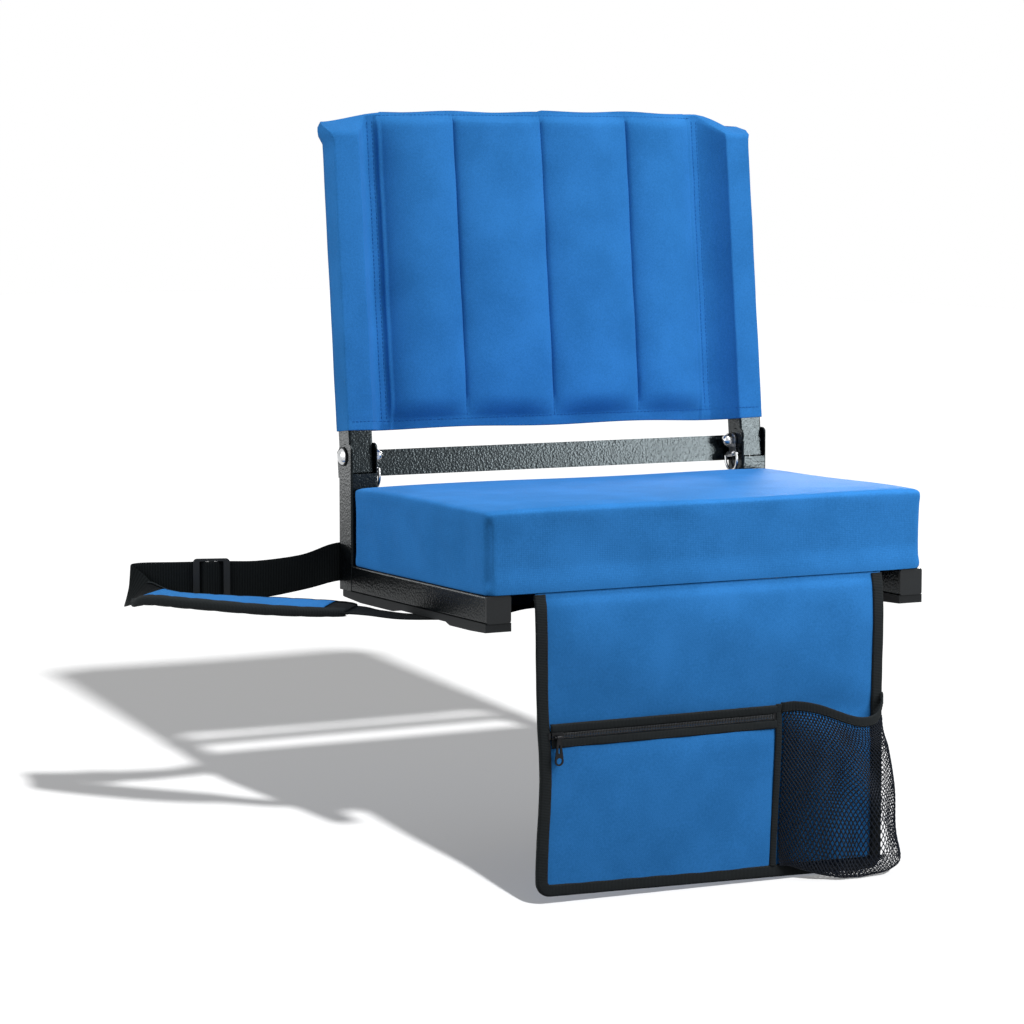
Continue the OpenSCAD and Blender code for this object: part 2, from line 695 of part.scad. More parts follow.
color("#2b3236") side(-1) side_tube();  // side_tube_left
color("#2b3236") side(1) side_tube();  // side_tube_right
color("#30383d") side(-1) lower_upright(true);  // lower_upright_left
color("#30383d") side(1) lower_upright(false);  // lower_upright_right
color("#2b3236") front_cross_tube();
color("#2b3236") cross_tube(post_y, hw - post);  // rear_cross_tube
color("#202325") side(-1) front_cap();  // front_cap_left
color("#202325") side(1) front_cap();  // front_cap_right
color("#202325") side(-1) foot_cap();  // foot_cap_left
color("#202325") side(1) foot_cap();  // foot_cap_right
color("#1b1d1e") side(-1) runner();  // runner_left
color("#1b1d1e") side(1) runner();  // runner_right
color("#9a9fa3") runner_screws();
color("#b08a5a") seat_board();
color("#9a9fa3") board_screws();
color("#e8e2c8") cushion_foam();
color("#2e78c4") cushion_cover();
color("#2e78c4") flap_tape();
color("#d8dcdf") side(-1) pivot_bolt();  // pivot_bolt_left
color("#d8dcdf") side(1) pivot_bolt();  // pivot_bolt_right
color("#151617") pivot_washers();
color("#d8dcdf") side(-1) pivot_nut();  // pivot_nut_left
color("#d8dcdf") side(1) pivot_nut();  // pivot_nut_right
color("#343d42") side(-1) back_tube();  // back_tube_left
color("#343d42") side(1) back_tube();  // back_tube_right
color("#2b3236") back_crossbar();
color("#202325") side(-1) back_cap();  // back_cap_left
color("#202325") side(1) back_cap();  // back_cap_right
color("#2e78c4") back_cover();
color("#e8e2c8") back_foam(0);  // back_foam_1
color("#e8e2c8") back_foam(1);  // back_foam_2
color("#e8e2c8") back_foam(2);  // back_foam_3
color("#e8e2c8") back_foam(3);  // back_foam_4
color("#c8cccf") side(-1) ring_hanger();  // ring_hanger_left
color("#c8cccf") side(1) ring_hanger();  // ring_hanger_right
color("#d8dcdf") side(-1) d_ring();  // d_ring_left
color("#d8dcdf") side(1) d_ring();  // d_ring_right
color("#2e78c4") flap_panel();
color("#141516") flap_binding();
color("#2a70b8") zip_pocket();
color("#141516") pocket_seam();
color("#17181a") zip_tape();
color("#2a2c2e") zip_coil();
color("#3a3c3e") zip_stops();
color("#15202e") net_pocket();
color("#141516") net_rim();
color("#222426") zip_slider();
color("#222426") zip_pull();
color("#121314") strap_webbing();
color("#1c1d1f") strap_adjuster();
color("#16181a") strap_pad();
color("#9a9fa3") strap_screws();
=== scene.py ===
"""Folding bleacher seat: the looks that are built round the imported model.

Shapes are written in millimetres in the seat's own frame (X to the sitter's
left, Y to the back, Z up, the origin on the plane of the bench) and become
metres when they are put into a mesh.
"""

import json
import logging
import math
from dataclasses import dataclass, field
from enum import Enum
from typing import Any, Dict, List, Optional, Sequence, Tuple

import bmesh
import bpy
import numpy as np
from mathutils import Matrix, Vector

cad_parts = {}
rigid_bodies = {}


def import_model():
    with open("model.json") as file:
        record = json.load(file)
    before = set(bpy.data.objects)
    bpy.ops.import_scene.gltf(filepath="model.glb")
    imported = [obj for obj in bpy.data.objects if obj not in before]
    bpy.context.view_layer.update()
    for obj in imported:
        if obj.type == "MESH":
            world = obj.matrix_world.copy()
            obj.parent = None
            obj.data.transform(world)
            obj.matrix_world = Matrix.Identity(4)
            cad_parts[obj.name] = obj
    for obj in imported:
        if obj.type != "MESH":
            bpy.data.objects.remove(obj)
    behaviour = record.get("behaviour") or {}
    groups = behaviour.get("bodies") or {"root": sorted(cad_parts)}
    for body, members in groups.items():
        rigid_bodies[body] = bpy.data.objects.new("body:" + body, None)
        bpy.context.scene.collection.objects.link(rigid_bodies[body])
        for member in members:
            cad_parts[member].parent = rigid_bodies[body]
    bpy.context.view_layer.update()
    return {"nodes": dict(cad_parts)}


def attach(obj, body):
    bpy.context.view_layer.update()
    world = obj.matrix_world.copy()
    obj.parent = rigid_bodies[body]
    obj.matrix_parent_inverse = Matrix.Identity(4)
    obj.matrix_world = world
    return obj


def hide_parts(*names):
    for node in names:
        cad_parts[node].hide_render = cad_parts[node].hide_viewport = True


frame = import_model()

log = logging.getLogger("bleacher_seat")
Array = np.ndarray
Colour = Tuple[float, float, float]
Place = Tuple[float, float, float]
Pair = Tuple[bool, bool]
Obj = bpy.types.Object
MM = 0.001


class Body(Enum):
    """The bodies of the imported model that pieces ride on."""

    SEAT = "seat_frame"
    BACK = "backrest"
    FLAP = "flap"


# ---------------------------------------------------------------- materials


class Value:
    """A node's output; Python's operators on it add Math nodes."""

    def __init__(self, graph: "Graph", socket: bpy.types.NodeSocket) -> None:
        """Keep the socket and the graph it belongs to."""
        self.graph = graph
        self.socket = socket

    def math(self, operation: str, *terms: Any) -> "Value":
        """Add one Math node.

        Args:
            operation: Blender's name of the operation.
            terms: Up to three numbers or values, in the node's order.

        Returns:
            The result of the node.
        """
        return self.graph.node("Math", {"operation": operation}, dict(enumerate(terms)))

    def __add__(self, other: Any) -> "Value":
        """Sum."""
        return self.math("ADD", self, other)

    __radd__ = __add__

    def __sub__(self, other: Any) -> "Value":
        """Difference."""
        return self.math("SUBTRACT", self, other)

    def __rsub__(self, other: Any) -> "Value":
        """Difference with this value taken away."""
        return self.math("SUBTRACT", other, self)

    def __mul__(self, other: Any) -> "Value":
        """Product."""
        return self.math("MULTIPLY", self, other)

    __rmul__ = __mul__

    def sin(self) -> "Value":
        """Sine of the value in radians."""
        return self.math("SINE", self)

    def max(self, other: Any) -> "Value":
        """Larger of two values."""
        return self.math("MAXIMUM", self, other)

    def smooth(self, low: float, high: float) -> "Value":
        """Ease from 0 at low to 1 at high."""
        return self.graph.node("MapRange", {"interpolation_type": "SMOOTHSTEP"},
                               {"Value": self, "From Min": low, "From Max": high})


class Graph:
    """The node tree of a material or a world."""

    def __init__(self, owner: Any) -> None:
        """Keep the material or world and empty its tree.

        Args:
            owner: The new material or world.
        """
        owner.use_nodes = True
        self.owner, self.tree = owner, owner.node_tree
        self.tree.nodes.clear()

    def node(self, kind: str, settings: Optional[Dict[str, Any]] = None,
             inputs: Optional[Dict[Any, Any]] = None, output: Any = 0) -> Value:
        """Add any node.

        Args:
            kind: The node's type without its ShaderNode prefix.
            settings: Properties that are set first, such as a Math node's
                operation.
            inputs: A number, colour or Value for each socket by name or place.
            output: Name or place of the output that is returned.

        Returns:
            The chosen output.
        """
        made = self.tree.nodes.new("ShaderNode" + kind)
        for key, value in (settings or {}).items():
            setattr(made, key, value)
        for key, value in (inputs or {}).items():
            if isinstance(value, Value):
                self.tree.links.new(value.socket, made.inputs[key])
            elif isinstance(value, tuple) and len(value) == 3 and made.inputs[key].type == "RGBA":
                made.inputs[key].default_value = (*value, 1.0)
            else:
                made.inputs[key].default_value = value
        return Value(self, made.outputs[output] if made.outputs else None)

    def outputs(self, value: Value, *names: Any) -> List[Value]:
        """More outputs, by name or place, of the node that a value comes from."""
        outs = value.socket.node.outputs
        return [Value(self, outs[name]) for name in names]

    def place(self) -> Value:
        """Object coordinates, which are the seat's frame in metres."""
        return self.node("TexCoord", output="Object")

    def cloth_place(self) -> Value:
        """The piece's own UV map, which runs in metres along the cloth."""
        return self.node("UVMap", {"uv_map": "cloth"})

    def parts(self, vector: Value) -> List[Value]:
        """Split a vector into its three numbers."""
        return self.outputs(self.node("SeparateXYZ", inputs={0: vector}), 0, 1, 2)

    def seen(self) -> Value:
        """Which rays see the surface as the camera does.

        Returns:
            1 for rays from the camera and for those that gloss and glass
            send on, and 0 for all others.
        """
        rays =("Is Camera Ray", "Is Glossy Ray", "Is Transmission Ray")
        camera, glossy, through = self.outputs(self.node("LightPath"), *rays)
        return camera.max(glossy).max(through)

    def noise(self, vector: Value, size: float, detail: float = 3.0, rough: float = 0.5) -> Value:
        """Cloudy noise.

        Args:
            vector: Where the noise is read, in metres.
            size: Size of its blotches in millimetres.
            detail: Number of finer layers.
            rough: Strength of the finer layers.

        Returns:
            Noise from about 0.3 to 0.7.
        """
        return self.node("TexNoise", None, {"Vector": vector, "Scale": 1.0 / (size * MM),
                                            "Detail": detail, "Roughness": rough})

    def mix(self, factor: Any, one: Any, two: Any) -> Value:
        """Blend two colours by a factor from 0 to 1."""
        return self.node("Mix", {"data_type": "RGBA"}, {0: factor, 6: one, 7: two}, output=2)

    def bump(self, height: Value, depth: float, strength: float = 1.0) -> Value:
        """Turn a height from 0 to 1 into a normal.

        Args:
            height: The height over the surface.
            depth: What a height of 1 stands for, in millimetres.
            strength: Share of the effect.

        Returns:
            The bent normal.
        """
        return self.node("Bump", None, {"Height": height, "Distance": depth * MM, "Strength": strength})

    def surface(self, varying: Dict[str, Any], fixed: Dict[str, Any]) -> bpy.types.Material:
        """Close the tree with its shader.

        Args:
            varying: What changes over the surface, by socket name.
            fixed: What is the same all over it, set on the shader's sockets.

        Returns:
            The finished material.
        """
        return self.close(self.node("BsdfPrincipled", None, {**fixed, **varying}))

    def close(self, shader: Value, end: str = "OutputMaterial") -> Any:
        """Lead a shader to the output node and give back the material or world."""
        self.node(end, None, {"Surface": shader})
        return self.owner


@dataclass(frozen=True)
class Finish:
    """What a surface is made of; name is the material's and slot the record's."""

    name: str
    slot: str

    def shade(self, g: Graph) -> bpy.types.Material:
        """Build the nodes; each kind of finish has its own."""
        raise NotImplementedError

    def material(self) -> bpy.types.Material:
        """The material, made the first time it is asked for."""
        found = bpy.data.materials.get(self.name)
        return found or self.shade(Graph(bpy.data.materials.new(self.name)))


@dataclass(frozen=True)
class HammerPaint(Finish):
    """Charcoal paint with the pebbled relief of a hammer finish."""

    dark: Colour = (0.0022, 0.0030, 0.0036)
    light: Colour = (0.0095, 0.0125, 0.0145)
    pebble: float = 2.2

    def shade(self, g: Graph) -> bpy.types.Material:
        """Pebbles from smooth cells on a noise-bent place, with painted shade that darkens the pits.

        Args:
            g: The material's empty graph.

        Returns:
            The material.
        """
        at = g.place()
        bend = g.node("VectorMath", {"operation": "MULTIPLY_ADD"},
                      {0: g.node("TexNoise", None, {"Vector": at, "Scale": 420.0, "Detail": 2.0}, output="Color"),
                       1: (1.6 * MM,) * 3, 2: at})
        cells = g.node("TexVoronoi", {"feature": "SMOOTH_F1"},
                       {"Vector": bend, "Scale": 1.0 / (self.pebble * MM), "Smoothness": 0.6})
        broad = g.noise(at, 22.0, 2.0)
        fleck = g.noise(at, 1.1, 1.0).smooth(0.60, 0.76)
        # tone darkens the colour towards the pits between the pebbles as painted shade, and broad noise varies it at
        # random
        tone = (cells * 0.75 + broad * 0.5).smooth(0.25, 0.85)
        return g.surface(
            {"Base Color": g.mix(fleck * 0.25, g.mix(tone, self.light, self.dark), (0.05, 0.060, 0.067)),
             "Roughness": 0.165 + tone * 0.09,
             "Normal": g.bump((cells * -1.0 + 1.0) + broad * 0.3, 0.29, 0.60)},
            {"Specular IOR Level": 0.12, "Specular Tint": (0.80, 0.95, 1.0, 1.0), "Metallic": 0.0})


@dataclass(frozen=True)
class WovenCloth(Finish):
    """Coated plain weave with a soft sheen."""

    colour: Colour = (0.0235, 0.164, 0.452)
    shade_share: float = 0.14
    pitch: float = 0.9
    relief: float = 0.10
    by_cloth: bool = True

    def shade(self, g: Graph) -> bpy.types.Material:
        """Warp and weft as a product of two sines, with slubs and faint clouds.

        Args:
            g: The material's empty graph.

        Returns:
            The material.
        """
        at = g.place()
        k = math.pi / (self.pitch * MM)
        if self.by_cloth:
            u, v = ((part * k).sin() for part in g.parts(g.cloth_place())[:2])
            weave = u * v
        else:
            x, y, z = ((part * k).sin() for part in g.parts(at))
            weave = (x * y + y * z + z * x) * 0.6
        slub = g.noise(at, 1.6, 2.0, 0.6)
        cloud = g.noise(at, 46.0, 2.0)
        tone = (slub * 0.9 + cloud * 0.8 + weave * 0.10 - 0.35).smooth(0.10, 0.90)
        low = tuple(c * (1.0 - self.shade_share) for c in self.colour)
        high = tuple(min(1.0, c * (1.0 + self.shade_share) + 0.004) for c in self.colour)
        return g.surface(
            {"Base Color": g.mix(tone, low, high),
             "Roughness": 0.62 + slub * 0.16,
             "Normal": g.bump(weave * 0.5 + slub * 0.9, self.relief, 0.7)},
            {"Specular IOR Level": 0.02, "Sheen Weight": 0.07, "Sheen Roughness": 0.40,
             "Sheen Tint": (0.45, 0.70, 1.0, 1.0)})


@dataclass(frozen=True)
class Webbing(Finish):
    """Black tape or webbing with ribs across its length."""

    colour: Colour = (0.0065, 0.0080, 0.0088)
    light: Colour = (0.026, 0.030, 0.032)
    rib: float = 2.2
    thread: float = 1.1
    relief: float = 0.22

    def shade(self, g: Graph) -> bpy.types.Material:
        """Ribs as a sine along the piece, split into threads across it, with painted shade in the grooves.

        Args:
            g: The material's empty graph.

        Returns:
            The material.
        """
        u, v, _ = g.parts(g.cloth_place())
        ribs = (v * (2.0 * math.pi / (self.rib * MM))).sin()
        threads = (u * (2.0 * math.pi / (self.thread * MM))).sin()
        fuzz = g.noise(g.place(), 0.9, 2.0, 0.7)
        height = ribs * 0.5 + threads * 0.22 + fuzz * 0.8
        # tone follows the height of ribs, threads and fuzz: painted light on the crests and painted shade in the
        # grooves
        tone = (height * 0.5 + 0.3).smooth(0.0, 1.0)
        return g.surface(
            {"Base Color": g.mix(tone, self.colour, self.light),
             "Roughness": 0.66 + fuzz * 0.2,
             "Normal": g.bump(height, self.relief, 0.8)},
            {"Specular IOR Level": 0.05, "Sheen Weight": 0.01, "Sheen Roughness": 0.5})


@dataclass(frozen=True)
class Moulded(Finish):
    """Moulded plastic or rubber with a fine grain."""

    colour: Colour = (0.0065, 0.0078, 0.0088)
    rough: float = 0.50
    grain: float = 0.8
    relief: float = 0.06
    specular: float = 0.05

    def shade(self, g: Graph) -> bpy.types.Material:
        """Spark-eroded grain from fine noise, rubbed smoother in broad patches.

        Args:
            g: The material's empty graph.

        Returns:
            The material.
        """
        at = g.place()
        grain = g.noise(at, self.grain, 2.0, 0.6)
        rubbed = g.noise(at, 30.0, 2.0)
        light = tuple(c * 1.7 for c in self.colour)
        return g.surface(
            {"Base Color": g.mix((grain * 0.6 + rubbed * 0.5).smooth(0.3, 0.8), self.colour, light),
             "Roughness": self.rough + grain * 0.14 - rubbed * 0.08,
             "Normal": g.bump(grain, self.relief, 0.6)},
            {"Specular IOR Level": self.specular})


@dataclass(frozen=True)
class Metal(Finish):
    """Plated metal, from polished chrome to dull zinc."""

    colour: Colour = (0.56, 0.57, 0.58)
    rough: float = 0.16
    wear: float = 0.10

    def shade(self, g: Graph) -> bpy.types.Material:
        """Fine scratches from stretched noise and a little cloudiness.

        Args:
            g: The material's empty graph.

        Returns:
            The material.
        """
        at = g.place()
        stretched = g.node("Mapping", None, {"Vector": at, "Scale": (60.0, 900.0, 900.0)})
        scratch = g.node("TexNoise", None, {"Vector": stretched, "Scale": 1.0, "Detail": 2.0})
        cloud = g.noise(at, 3.0, 2.0)
        dull = tuple(c * 0.72 for c in self.colour)
        return g.surface(
            {"Base Color": g.mix(cloud.smooth(0.45, 0.75) * 0.6, self.colour, dull),
             "Roughness": self.rough + self.wear * scratch,
             "Normal": g.bump(scratch, 0.02, 0.3)},
            {"Metallic": 1.0})


@dataclass(frozen=True)
class Plywood(Finish):
    """Raw birch plywood with its grain along the seat."""

    def shade(self, g: Graph) -> bpy.types.Material:
        """Grain from noise stretched along X, and plies as a sine of height.

        Args:
            g: The material's empty graph.

        Returns:
            The material.
        """
        at = g.place()
        z = g.parts(at)[2]
        stretched = g.node("Mapping", None, {"Vector": at, "Scale": (14.0, 260.0, 260.0)})
        grain = g.node("TexNoise", None, {"Vector": stretched, "Scale": 1.0, "Detail": 5.0, "Roughness": 0.6})
        plies = (z * (2.0 * math.pi / (3.0 * MM))).sin().smooth(-0.2, 0.2)
        tone = (grain * 0.8 + plies * 0.25).smooth(0.2, 0.9)
        return g.surface({"Base Color": g.mix(tone, (0.56, 0.38, 0.20), (0.36, 0.22, 0.10)),
                          "Roughness": 0.6 + grain * 0.2, "Normal": g.bump(grain, 0.2, 0.5)}, {})


PAINT = HammerPaint("hammer_paint", "frame_paint")
BLUE = WovenCloth("blue_cloth", "blue_fabric")
BLUE_SOLID = WovenCloth("blue_cloth_boxed", "blue_fabric", by_cloth=False)
BLUE_THREAD = Moulded("blue_thread", "blue_fabric", colour=(0.010, 0.080, 0.26), rough=0.6, grain=0.5)
TAPE = Webbing("edge_tape", "black_webbing", rib=1.5, thread=1.0, relief=0.16)
WEBBING = Webbing("strap_ribs", "black_webbing", colour=(0.0022, 0.0030, 0.0033), light=(0.0085, 0.0105, 0.0112),
                  rib=2.6)
PAD_BACK = Webbing("pad_back", "strap_padding", colour=(0.0024, 0.0030, 0.0034), light=(0.0080, 0.0092, 0.0100),
                   rib=1.2, relief=0.1)
BLACK_THREAD = Moulded("black_thread", "black_webbing", colour=(0.010, 0.0115, 0.0125), rough=0.6, grain=0.5,
                       specular=0.2)
NET_YARN = Moulded("net_yarn", "black_net", colour=(0.0040, 0.0062, 0.0110), rough=0.45, grain=0.6, relief=0.1,
                   specular=0.15)
COIL = Moulded("zip_coil_nylon", "zip_nylon", colour=(0.030, 0.033, 0.036), rough=0.34, grain=1.0, relief=0.02,
               specular=0.30)
ENAMEL = Moulded("zip_enamel", "zip_metal", colour=(0.006, 0.0065, 0.0075), rough=0.30, grain=1.5, relief=0.02,
                 specular=0.16)
PLASTIC = Moulded("moulded_plastic", "black_plastic", colour=(0.0062, 0.0074, 0.0084), rough=0.42, specular=0.22)
RUBBER = Moulded("moulded_rubber", "runner_rubber", colour=(0.0060, 0.0070, 0.0078), rough=0.55, grain=1.2,
                 relief=0.10, specular=0.14)
CHROME = Metal("polished_chrome", "chrome")
ZINC = Metal("zinc_plate", "zinc_steel", colour=(0.46, 0.47, 0.49), rough=0.26, wear=0.2)
PLY = Plywood("birch_plywood", "plywood")


# ------------------------------------------------------------------- shapes


def put(name: str, data: Any) -> Obj:
    """Link a new object into the scene.

    Args:
        name: Name of the object.
        data: Its mesh, lamp or camera.

    Returns:
        The object.
    """
    made = bpy.data.objects.new(name, data)
    bpy.context.scene.collection.objects.link(made)
    return made


def turn(count: int) -> Array:
    """Angles of a full turn in equal steps."""
    return np.linspace(0, 2 * math.pi, count, endpoint=False)


def squared(c: Array, power: float) -> Array:
    """A sine or cosine whose round is squared off by a power below 1."""
    return np.sign(c) * np.abs(c) ** power


def surface_mesh(name: str, points: Array, uv: Optional[Array] = None, wrap: Pair = (False, False),
                 caps: Pair = (False, False), sharp: float = 60.0) -> Obj:
    """Put a grid of points into a mesh of quads.

    Args:
        name: Name of the piece.
        points: Places in millimetres, of shape (rows, columns, 3).
        uv: Cloth coordinates in millimetres for each face corner's grid
            place, of shape (row faces + 1, column faces + 1, 2).
        wrap: Whether the rows and the columns close on themselves.
        caps: Whether the first and the last row are closed with a fan.
        sharp: Edges that bend by more than this many degrees stay sharp.

    Returns:
        The object, with closed shapes' faces outwards.
    """
    n, m = points.shape[:2]
    rows, cols = np.arange(n - (not wrap[0])), np.arange(m - (not wrap[1]))
    i, j = np.meshgrid(rows, cols, indexing="ij")
    i1, j1 = (i + 1) % n, (j + 1) % m
    quads = np.stack([i * m + j, i1 * m + j, i1 * m + j1, i * m + j1], -1).reshape(-1, 4)
    verts = points.reshape(-1, 3)
    fans: List[List[int]] = []
    for wanted, row, way in ((caps[0], 0, 1), (caps[1], n - 1, -1)):
        if wanted:
            rim = row * m + cols
            centre = np.full_like(rim, len(verts))
            verts = np.vstack([verts, points[row].mean(0)])
            fans += np.stack([centre, rim, row * m + (cols + 1) % m], -1)[:, ::way].tolist()
    mesh = bpy.data.meshes.new(name)
    faces = quads.tolist() + fans
    mesh.from_pydata((verts * MM).tolist(), [], faces)
    if uv is not None:
        layer = mesh.uv_layers.new(name="cloth")
        corner = np.stack([uv[i, j], uv[i + 1, j], uv[i + 1, j + 1], uv[i, j + 1]], 2).reshape(-1, 2) * MM
        layer.data.foreach_set("uv", np.vstack([corner, np.zeros((len(fans) * 3, 2))]).ravel())
    shade_smooth(mesh)
    if wrap[1] and (all(caps) or wrap[0]):
        outwards(mesh)
    mesh.set_sharp_from_angle(angle=math.radians(sharp))
    mesh.update()
    return put(name, mesh)


def shade_smooth(mesh: bpy.types.Mesh) -> None:
    """Shade every face smooth."""
    mesh.polygons.foreach_set("use_smooth", np.ones(len(mesh.polygons), bool))


def outwards(mesh: bpy.types.Mesh) -> None:
    """Turn the faces of a closed mesh outwards.

    Args:
        mesh: The mesh, which may hold several closed shells.
    """
    work = bmesh.new()
    work.from_mesh(mesh)
    bmesh.ops.recalc_face_normals(work, faces=work.faces)
    work.to_mesh(mesh)
    work.free()


def lengths(points: Array) -> Array:
    """Distance run along a line of points, starting at 0."""
    return np.concatenate([[0.0], np.cumsum(np.linalg.norm(np.diff(points, axis=0), axis=1))])


def cloth_uv(points: Array, wrap: Pair = (False, False)) -> Array:
    """Cloth coordinates from the mean run of the rows and columns.

    Args:
        points: The grid of places.
        wrap: Whether the rows and the columns close on themselves.

    Returns:
        Millimetres along the columns and the rows for each grid place, with
        one more row or column where the grid closes.
    """
    grid = np.pad(points, ((0, wrap[0]), (0, wrap[1]), (0, 0)), "wrap")
    return grid_uv(lengths(grid[:, grid.shape[1] // 2]), lengths(grid[grid.shape[0] // 2]))


def grid_uv(v: Array, u: Array) -> Array:
    """Cloth coordinates of a grid from the run v of its rows and u of its columns."""
    return np.stack(np.meshgrid(v, u, indexing="ij")[::-1], -1)


def bar_mesh(name: str, points: Array, uv: Optional[Array] = None, sharp: float = 75.0) -> Obj:
    """Solid bar from closed sections, one a row, with a fan over both ends."""
    uv = cloth_uv(points, (False, True)) if uv is None else uv
    return surface_mesh(name, points, uv, (False, True), (True, True), sharp)


def sheet_mesh(name: str, points: Array, thick: float, offset: float = -1.0, uv: Optional[Array] = None) -> Obj:
    """Sheet from a grid of points.

    Args:
        name: Name of the piece.
        points: The grid of places in millimetres.
        thick: Its thickness in millimetres.
        offset: Where the thickness grows: -1 inwards, 0 to both sides.
        uv: Its cloth coordinates, or none to take them from the grid.

    Returns:
        The sheet.
    """
    return thicken(surface_mesh(name, points, cloth_uv(points) if uv is None else uv), thick, offset)


def ease(x: Any, low: float, high: float) -> Array:
    """Smooth step: 0 up to low, 1 from high, and 3t^2 - 2t^3 between."""
    t = np.clip((np.asarray(x, float) - low) / (high - low), 0.0, 1.0)
    return t * t * (3.0 - 2.0 * t)


def unit(v: Array) -> Array:
    """Vectors of length one along the last axis."""
    return v / np.maximum(np.linalg.norm(v, axis=-1, keepdims=True), 1e-9)


def spline(control: Array, s: Array) -> Array:
    """Catmull-Rom curve through control points.

    Args:
        control: The control points, one a row.
        s: Where to read it: 0 is the first point, 1 the second and so on.

    Returns:
        The points of the curve.
    """
    last = len(control) - 1
    i = np.clip(np.floor(s).astype(int), 0, last - 1)
    u = (s - i)[:, None]
    a, b, c, d = (control[np.clip(i + k, 0, last)] for k in (-1, 0, 1, 2))
    return 0.5 * (2 * b + (c - a) * u + (2 * a - 5 * b + 4 * c - d) * u ** 2 + (3 * b - a - 3 * c + d) * u ** 3)


def coil_rod(name: str, line: Array, radius: float, sides: int) -> Obj:
    """Round rod along a line: circles across its direction.

    Args:
        name: Name of the piece.
        line: Points of the centreline.
        radius: Radius of the rod.
        sides: Number of sides.

    Returns:
        The rod.
    """
    along = unit(np.gradient(line, axis=0))
    across = unit(np.cross(along, np.where(np.abs(along[:, 2:]) > 0.9, [[1.0, 0, 0]], [[0, 0, 1.0]])))
    up = np.cross(across, along)
    angle = turn(sides)[:, None]
    points = line[:, None] + (across[:, None] * np.cos(angle) + up[:, None] * np.sin(angle)) * radius
    return bar_mesh(name, points, None, 60.0)


def many_rods(name: str, points: Array) -> Obj:
    """Many rods of the same build as one closed piece.

    Args:
        name: Name of the piece.
        points: Places of shape (rods, sections, sides, 3).

    Returns:
        The piece, whose sections are joined by quads and closed at the ends.
    """
    count, rows, m = points.shape[:3]
    i, j = np.meshgrid(np.arange(rows - 1), np.arange(m), indexing="ij")
    k = (j + 1) % m
    one = np.stack([i * m + j, i * m + k, (i + 1) * m + k, (i + 1) * m + j], -1).reshape(-1, 4)
    ends = np.stack([np.arange(m)[::-1], np.arange(m) + (rows - 1) * m])
    first = (np.arange(count) * rows * m)[:, None, None]
    mesh = bpy.data.meshes.new(name)
    faces = (one + first).reshape(-1, 4).tolist() + (ends + first).reshape(-1, m).tolist()
    mesh.from_pydata((points.reshape(-1, 3) * MM).tolist(), [], faces)
    shade_smooth(mesh)
    outwards(mesh)
    return put(name, mesh)


@dataclass(frozen=True)
class Thread:
    """A sewing thread and how it is sewn, in millimetres."""

    finish: Finish
    length: float = 3.0
    gap: float = 1.1
    width: float = 0.55
    proud: float = 0.22

    def sew(self, name: str, line: Array, body: Body, out: Sequence[float] = (0.0, -1.0, 0.0)) -> None:
        """Row of stitches: the same small rounded bar again and again.

        Each bar rises over the seam by proud times 1 - t^4 along its length,
        and its thickness closes towards both ends as the root of 1 - t^6.

        Args:
            name: Name of the piece.
            line: The seam, as points.
            body: The body that it moves with.
            out: Direction away from the cloth.
        """
        run = lengths(line)
        count = max(2, int(run[-1] / (self.length + self.gap)))
        mid = (np.arange(count) + 0.5) * run[-1] / count
        before, centre, after = (np.stack([np.interp(mid + step, run, line[:, k]) for k in range(3)], -1)
                                 for step in (-0.5, 0.0, 0.5))
        along, up = unit(after - before), unit(np.array(out))
        side = np.cross(up, along)
        t = np.array([-1.0, -0.82, -0.4, 0.0, 0.4, 0.82, 1.0])[:, None]
        r = np.sqrt(np.clip(1 - t ** 6, 0.05, 1)) * self.width / 2
        lift = self.proud * (1 - t ** 4) - self.width * 0.3
        spine = centre[:, None] + along[:, None] * t * self.length / 2 + up * lift
        angle = turn(6)[:, None]
        ring = side[:, None, None] * np.cos(angle) + up * np.sin(angle)
        dress(many_rods(name, spine[:, :, None] + ring * r[:, None]), self.finish, body)


COVER_THREAD = Thread(BLUE_THREAD)
BAND_THREAD = Thread(BLACK_THREAD, 2.4, 0.9, 0.45)
BINDING_THREAD = Thread(BLACK_THREAD, 2.6, 1.0, 0.5)
RIM_THREAD = Thread(BLACK_THREAD, 2.4, 1.0, 0.45)


def thicken(piece: Obj, thick: float, offset: float = -1.0) -> Obj:
    """Give a sheet its thickness.

    Args:
        piece: The sheet.
        thick: The thickness in millimetres.
        offset: Where it grows: -1 inwards, 0 to both sides.

    Returns:
        The sheet.
    """
    wall = piece.modifiers.new("wall", "SOLIDIFY")
    wall.thickness, wall.offset, wall.use_even_offset = thick * MM, offset, False
    return piece


def settled(piece: Obj) -> Array:
    """Points of a piece with its modifiers worked in.

    Args:
        piece: The piece.

    Returns:
        The points in millimetres.
    """
    mesh = piece.evaluated_get(bpy.context.evaluated_depsgraph_get()).to_mesh()
    points = np.empty(len(mesh.vertices) * 3, np.float32)
    mesh.vertices.foreach_get("co", points)
    return points.reshape(-1, 3).astype(float) / MM


def apply_modifiers(piece: Obj) -> None:
    """Work a piece's modifiers into its mesh.

    Args:
        piece: The piece, which has no modifiers afterwards.
    """
    bpy.context.view_layer.update()
    old = piece.data
    made = bpy.data.meshes.new_from_object(piece.evaluated_get(bpy.context.evaluated_depsgraph_get()))
    piece.modifiers.clear()
    made.name = old.name
    piece.data = made
    bpy.data.meshes.remove(old)


def move_points(piece: Obj, points: Array) -> None:
    """Set a mesh's points, given in millimetres."""
    piece.data.vertices.foreach_set("co", (points * MM).astype(np.float32).ravel())
    piece.data.update()


